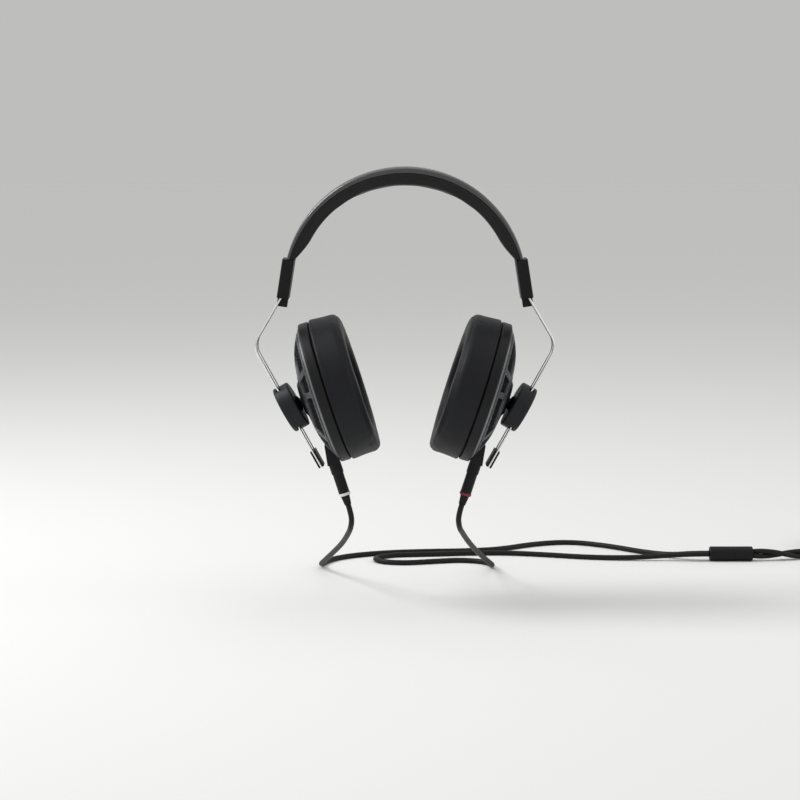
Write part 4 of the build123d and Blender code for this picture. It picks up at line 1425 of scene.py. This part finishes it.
@dataclass
class Cable:
    """The two leads, the splitter, the twisted main cable with its coil, and the jack plug."""

    lead_radius: float = 2.0 * MM
    splitter_start: Vector = field(default_factory=lambda: Vector((239.4, 163.0, -292.3)) * MM)
    splitter_length: float = 33.8 * MM
    lead_spacing: float = 4.4 * MM
    plug_exit: Vector = field(default_factory=lambda: Vector((40.551, 0.0, -227.067)) * MM)
    exit_heading: Vector = field(default_factory=lambda: Vector((-0.305695, 0.0, -0.952129)))
    first_run: float = 9.0 * MM
    near_cup: float = 66.0 * MM
    near_pivot: float = 34.0 * MM
    slide_reach: float = 95.0 * MM
    strand_radius: float = 2.0 * MM
    twist_pitch: float = 70.0 * MM
    pair_radius: float = 4.0 * MM
    coil_centre: tuple[float, float] = (378.0, 220.0)
    coil_points: int = 16

    # Millimetres: x, y and the height of the lead's underside above the surface.
    left_route: tuple = (
        (-38.6, 6, 51.5), (-41.3, 22, 43.5), (-46.0, 48, 32.5), (-52.8, 78, 21.0), (-60.5, 106, 9.5),
        (-66.0, 134, 0), (-58.0, 160, 0), (-40.0, 177, 0), (-12.0, 189, 0), (18.0, 194, 0),
        (47.0, 196, 0), (76.0, 203, 0), (105.0, 228, 0), (135.0, 238, 0), (165.0, 219, 0),
        (192.0, 189, 0), (211.0, 173, 1.0), (226.0, 165.2, 3.7),
    )
    right_route: tuple = (
        (38.9, 8, 51.0), (41.2, 24, 45.0), (46.0, 50, 34.0), (53.0, 80, 21.5), (61.5, 107, 9.5),
        (69.0, 129, 0), (63.0, 149, 0), (43.0, 156, 0), (22.0, 150, 0), (0.0, 143, 0),
        (-19.0, 148, 0), (-25.0, 164, 0), (-12.0, 177, 0), (9.0, 180, 0), (27.0, 182, 0),
        (48.0, 186, 0), (82.0, 187, 0), (112.0, 179, 0), (146.0, 167, 0), (181.0, 163, 0.4),
        (208.0, 164, 2.2), (225.0, 160.8, 3.7),
    )
    main_route: tuple = ((287.0, 163.0, 1.7), (312.0, 170.5, 0), (334.0, 176.5, 0))
    tail_route: tuple = ((432.0, 214.0, 0.6), (431.6, 225.0, 0), (431.4, 236.0, 0))

    def on_floor(self, route: Iterable, radius: float) -> list[Vector]:
        """Route points, lifted by a cord's radius from the surface that it lies on."""
        return [Vector((x * MM, y * MM, FLOOR_Z + radius + height * MM)) for x, y, height in route]

    def lead_line(self, side: Side) -> list[Vector]:
        """One lead's line, from its plug to the splitter."""
        route = self.right_route if side is Side.RIGHT else self.left_route
        start = side.place(self.plug_exit)
        second = side.place(self.plug_exit + self.exit_heading * self.first_run)
        end = self.splitter_start - Vector((0, side.value * self.lead_spacing / 2, 0))
        points = [start, second, *self.on_floor(route, self.lead_radius), end]
        return Route(f"{side.label}_lead_route", points).line()

    def build_lead(self, side: Side) -> None:
        """Make a lead in three lengths.

        Args:
            side: Which cup it comes from.
        """
        label = side.label
        line = self.lead_line(side)
        total = line_length(line)
        marks = [0.0, self.near_cup, self.near_cup + self.near_pivot, total]
        stretches = ("upper", "middle", "lower")
        for index, stretch in enumerate(stretches):
            points = cut_line(line, marks[index], marks[index + 1])
            mesh = tube_mesh(f"{label}_lead_{stretch}", points, self.lead_radius, 20)
            piece = new_piece(f"{label}_lead_{stretch}", mesh, JACKET)
            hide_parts(f"{label}_lead")
            blend_end = points[-1]
            if stretch == "lower":
                blend_end = cut_line(points, 0.0, self.slide_reach)[-1]
            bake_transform(piece)
        log.info("%s lead %.0f mm", label, total / MM)

    def coil_route(self) -> list[tuple[float, float, float]]:
        """The coil: two turns on the surface, one on top of them, and a loose end outside."""
        marks = (
            # degrees from +X, radius, height of the underside
            (-119.0, 47.5, 0.0), (-95.0, 46.0, 0.0), (170.0, 46.0, 0.0), (232.0, 38.0, 0.0),
            (520.0, 38.0, 0.0), (590.0, 42.0, 7.0), (890.0, 42.0, 7.0), (950.0, 50.0, 8.0),
            (985.0, 53.0, 8.0), (1030.0, 54.5, 0.5), (1070.0, 54.0, 0.0),
        )
        angles, radii, heights = zip(*marks)
        count = int((angles[-1] - angles[0]) / 360 * self.coil_points)
        points = []
        for step in range(count + 1):
            angle = angles[0] + (angles[-1] - angles[0]) * step / count
            radius = float(np.interp(angle, angles, radii))
            x = self.coil_centre[0] + radius * math.cos(math.radians(angle))
            y = self.coil_centre[1] + radius * math.sin(math.radians(angle))
            points.append((x, y, float(np.interp(angle, angles, heights))))
        return points

    def build_main(self) -> None:
        """Make the twisted main cable, its coil and its free end."""
        start = self.splitter_start + Vector((self.splitter_length, 0, 0))
        route = [*self.main_route, *self.coil_route(), *self.tail_route]
        points = [start, *self.on_floor(route, self.pair_radius)]
        line = Route("main_route", points).line()
        strands = []
        offset = self.pair_radius - self.strand_radius
        for phase in (0.0, math.pi):
            strand = strand_line(line, offset, self.twist_pitch, phase)
            strands.append(tube_mesh("strand", strand, self.strand_radius, 14))
        piece = new_piece("twisted_cable", joined_mesh("twisted_cable", strands), JACKET)
        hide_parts("main_cable", "cable_coil")
        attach(piece, "headband")
        tuple(line[0])
        round(line_length(line), 3)
        [tuple(p) for p in line]
        log.info("main cable %.0f mm", line_length(line) / MM)

    def build_tie(self) -> None:
        """Make the strap that holds the coil's turns together."""
        angle = math.radians(95.0)
        out = Vector((math.cos(angle), math.sin(angle), 0.0))
        middle = Vector((self.coil_centre[0] * MM, self.coil_centre[1] * MM, FLOOR_Z)) + out * 42 * MM
        along = Vector((-out.y, out.x, 0.0))
        half, width, thick = 9.0 * MM, 6.0 * MM, 0.7 * MM
        outline = rounded_outline(half, 0.15 * MM, 16.2 * MM, (3.5 * MM, 6.0 * MM), 8)
        rows = []
        for across, height in outline:
            spot = middle + out * across + Vector((0, 0, height))
            centre = middle + Vector((0, 0, 8 * MM))
            near, far = spot - along * width, spot + along * width
            inward = (centre - spot).normalized() * thick
            rows.append([near, far, far + inward, near + inward])
        mesh = grid_mesh("coil_tie", rows, around=True)
        tie = new_piece("coil_tie", mesh, RELIEF)
        tie.modifiers.new("soften", "BEVEL").width = 0.2 * MM
        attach(tie, "headband")

    def build(self) -> None:
        """Make the whole cable."""
        for side in Side:
            self.build_lead(side)
        self.build_main()
        self.build_tie()
        dress("cable_splitter", BLACK_COAT)
        dress("source_plug", BLACK_COAT)


# ---------------------------------------------------------------------------
# Studio
# ---------------------------------------------------------------------------
@dataclass
class Studio:
    """The floor, the lights, the world and the camera."""

    floor_size: float = 30.0
    floor_tone: Color = (0.78, 0.78, 0.77)
    backdrop: Color = (0.515, 0.515, 0.508)
    ambient: float = 0.66
    eye: tuple[float, float, float] = (-0.001, -1.6226, 0.0331)
    pitch: float = 6.513
    lens: float = 103.67
    shift: float = -0.0045

    def build_floor(self) -> None:
        """Lay a wide pale floor under the object."""
        half = self.floor_size / 2
        corners = [(-half, -half), (half, -half), (half, half), (-half, half)]
        shell = bmesh.new()
        shell.faces.new([shell.verts.new((x, y, FLOOR_Z)) for x, y in corners])
        mesh = bpy.data.meshes.new("studio_floor")
        shell.to_mesh(mesh)
        shell.free()
        floor = bpy.data.objects.new("studio_floor", mesh)
        bpy.context.scene.collection.objects.link(floor)
        material = bpy.data.materials.new("floor_paper")
        material.use_nodes = True
        shader = material.node_tree.nodes["Principled BSDF"]
        shader.inputs["Base Color"].default_value = (*self.floor_tone, 1.0)
        shader.inputs["Roughness"].default_value = 0.9
        shader.inputs["Specular IOR Level"].default_value = 0.1
        mesh.materials.append(material)

    def build_world(self) -> None:
        """Light the scene evenly, with a pale backdrop for the camera, metal and glass."""
        world = bpy.data.worlds.new("studio")
        bpy.context.scene.world = world
        world.use_nodes = True
        graph = Graph(world.node_tree)
        path = graph.add("ShaderNodeLightPath")
        seen = graph.math("MAXIMUM", path.outputs["Is Camera Ray"], path.outputs["Is Transmission Ray"])
        light = graph.add(
            "ShaderNodeBackground", {"Color": (1.0, 1.0, 1.0, 1.0), "Strength": self.ambient}
        )
        shown = graph.add("ShaderNodeBackground", {"Color": (*self.backdrop, 1.0), "Strength": 1.0})
        both = graph.add("ShaderNodeMixShader", {0: seen, 1: light.outputs[0], 2: shown.outputs[0]})
        graph.add("ShaderNodeOutputWorld", {"Surface": both.outputs[0]})

    def add_softbox(self, name: str, spot: tuple, size: tuple, power: float) -> None:
        """Add a soft area light that faces the object.

        Args:
            name: Its name.
            spot: Where it stands.
            size: Its width and height.
            power: Its power in watts.
        """
        lamp = bpy.data.lights.new(name, "AREA")
        lamp.shape = "RECTANGLE"
        lamp.size, lamp.size_y = size
        lamp.energy = power
        holder = bpy.data.objects.new(name, lamp)
        bpy.context.scene.collection.objects.link(holder)
        holder.location = spot
        aim = Vector((0.0, 0.0, -0.15)) - Vector(spot)
        holder.rotation_mode = "QUATERNION"
        holder.rotation_quaternion = aim.to_track_quat("-Z", "Y")

    def build_camera(self) -> None:
        """Stand the camera in front, looking slightly down."""
        data = bpy.data.cameras.new("camera")
        data.lens = self.lens
        data.sensor_width = 36.0
        data.shift_x = self.shift
        data.clip_start, data.clip_end = 0.01, 100.0
        camera = bpy.data.objects.new("camera", data)
        bpy.context.scene.collection.objects.link(camera)
        camera.location = self.eye
        camera.rotation_euler = (math.radians(90 - self.pitch), 0.0, 0.0)
        bpy.context.scene.camera = camera

    def build(self) -> None:
        """Set up everything round the object."""
        bpy.context.scene.view_settings.view_transform = "Standard"
        self.build_floor()
        self.build_world()
        self.build_camera()
        self.add_softbox("overhead", (0.0, 0.3, 1.6), (1.8, 1.4), 5.5)
        self.add_softbox("window_left", (-1.15, 0.0, 0.9), (0.6, 0.6), 14.0)
        self.add_softbox("window_right", (1.6, -0.3, 0.5), (0.8, 1.3), 4.0)


def main() -> None:
    """Build the studio, then the object from its cable up to its headband."""
    Studio().build()
    Cable().build()
    for side in Side:
        Hanger(side).build()
    right = Cup(Side.RIGHT)
    puffed = None
    start = right.lathe("pad_start", right.pad_outline(0.8 * MM), 96)
    puffed = Puff(voxel=4.5 * MM, reach=1.6 * MM).run(start)
    bpy.data.meshes.remove(start)
    for side in Side:
        Cup(side).build(puffed)
    Headband().build()
    dress("headband_spring", SPRING)
    dress("end_block_screws", SCREW_BLACK)


if __name__ == "__main__":
    logging.basicConfig(level=logging.INFO, format="%(name)s: %(message)s")
    main()
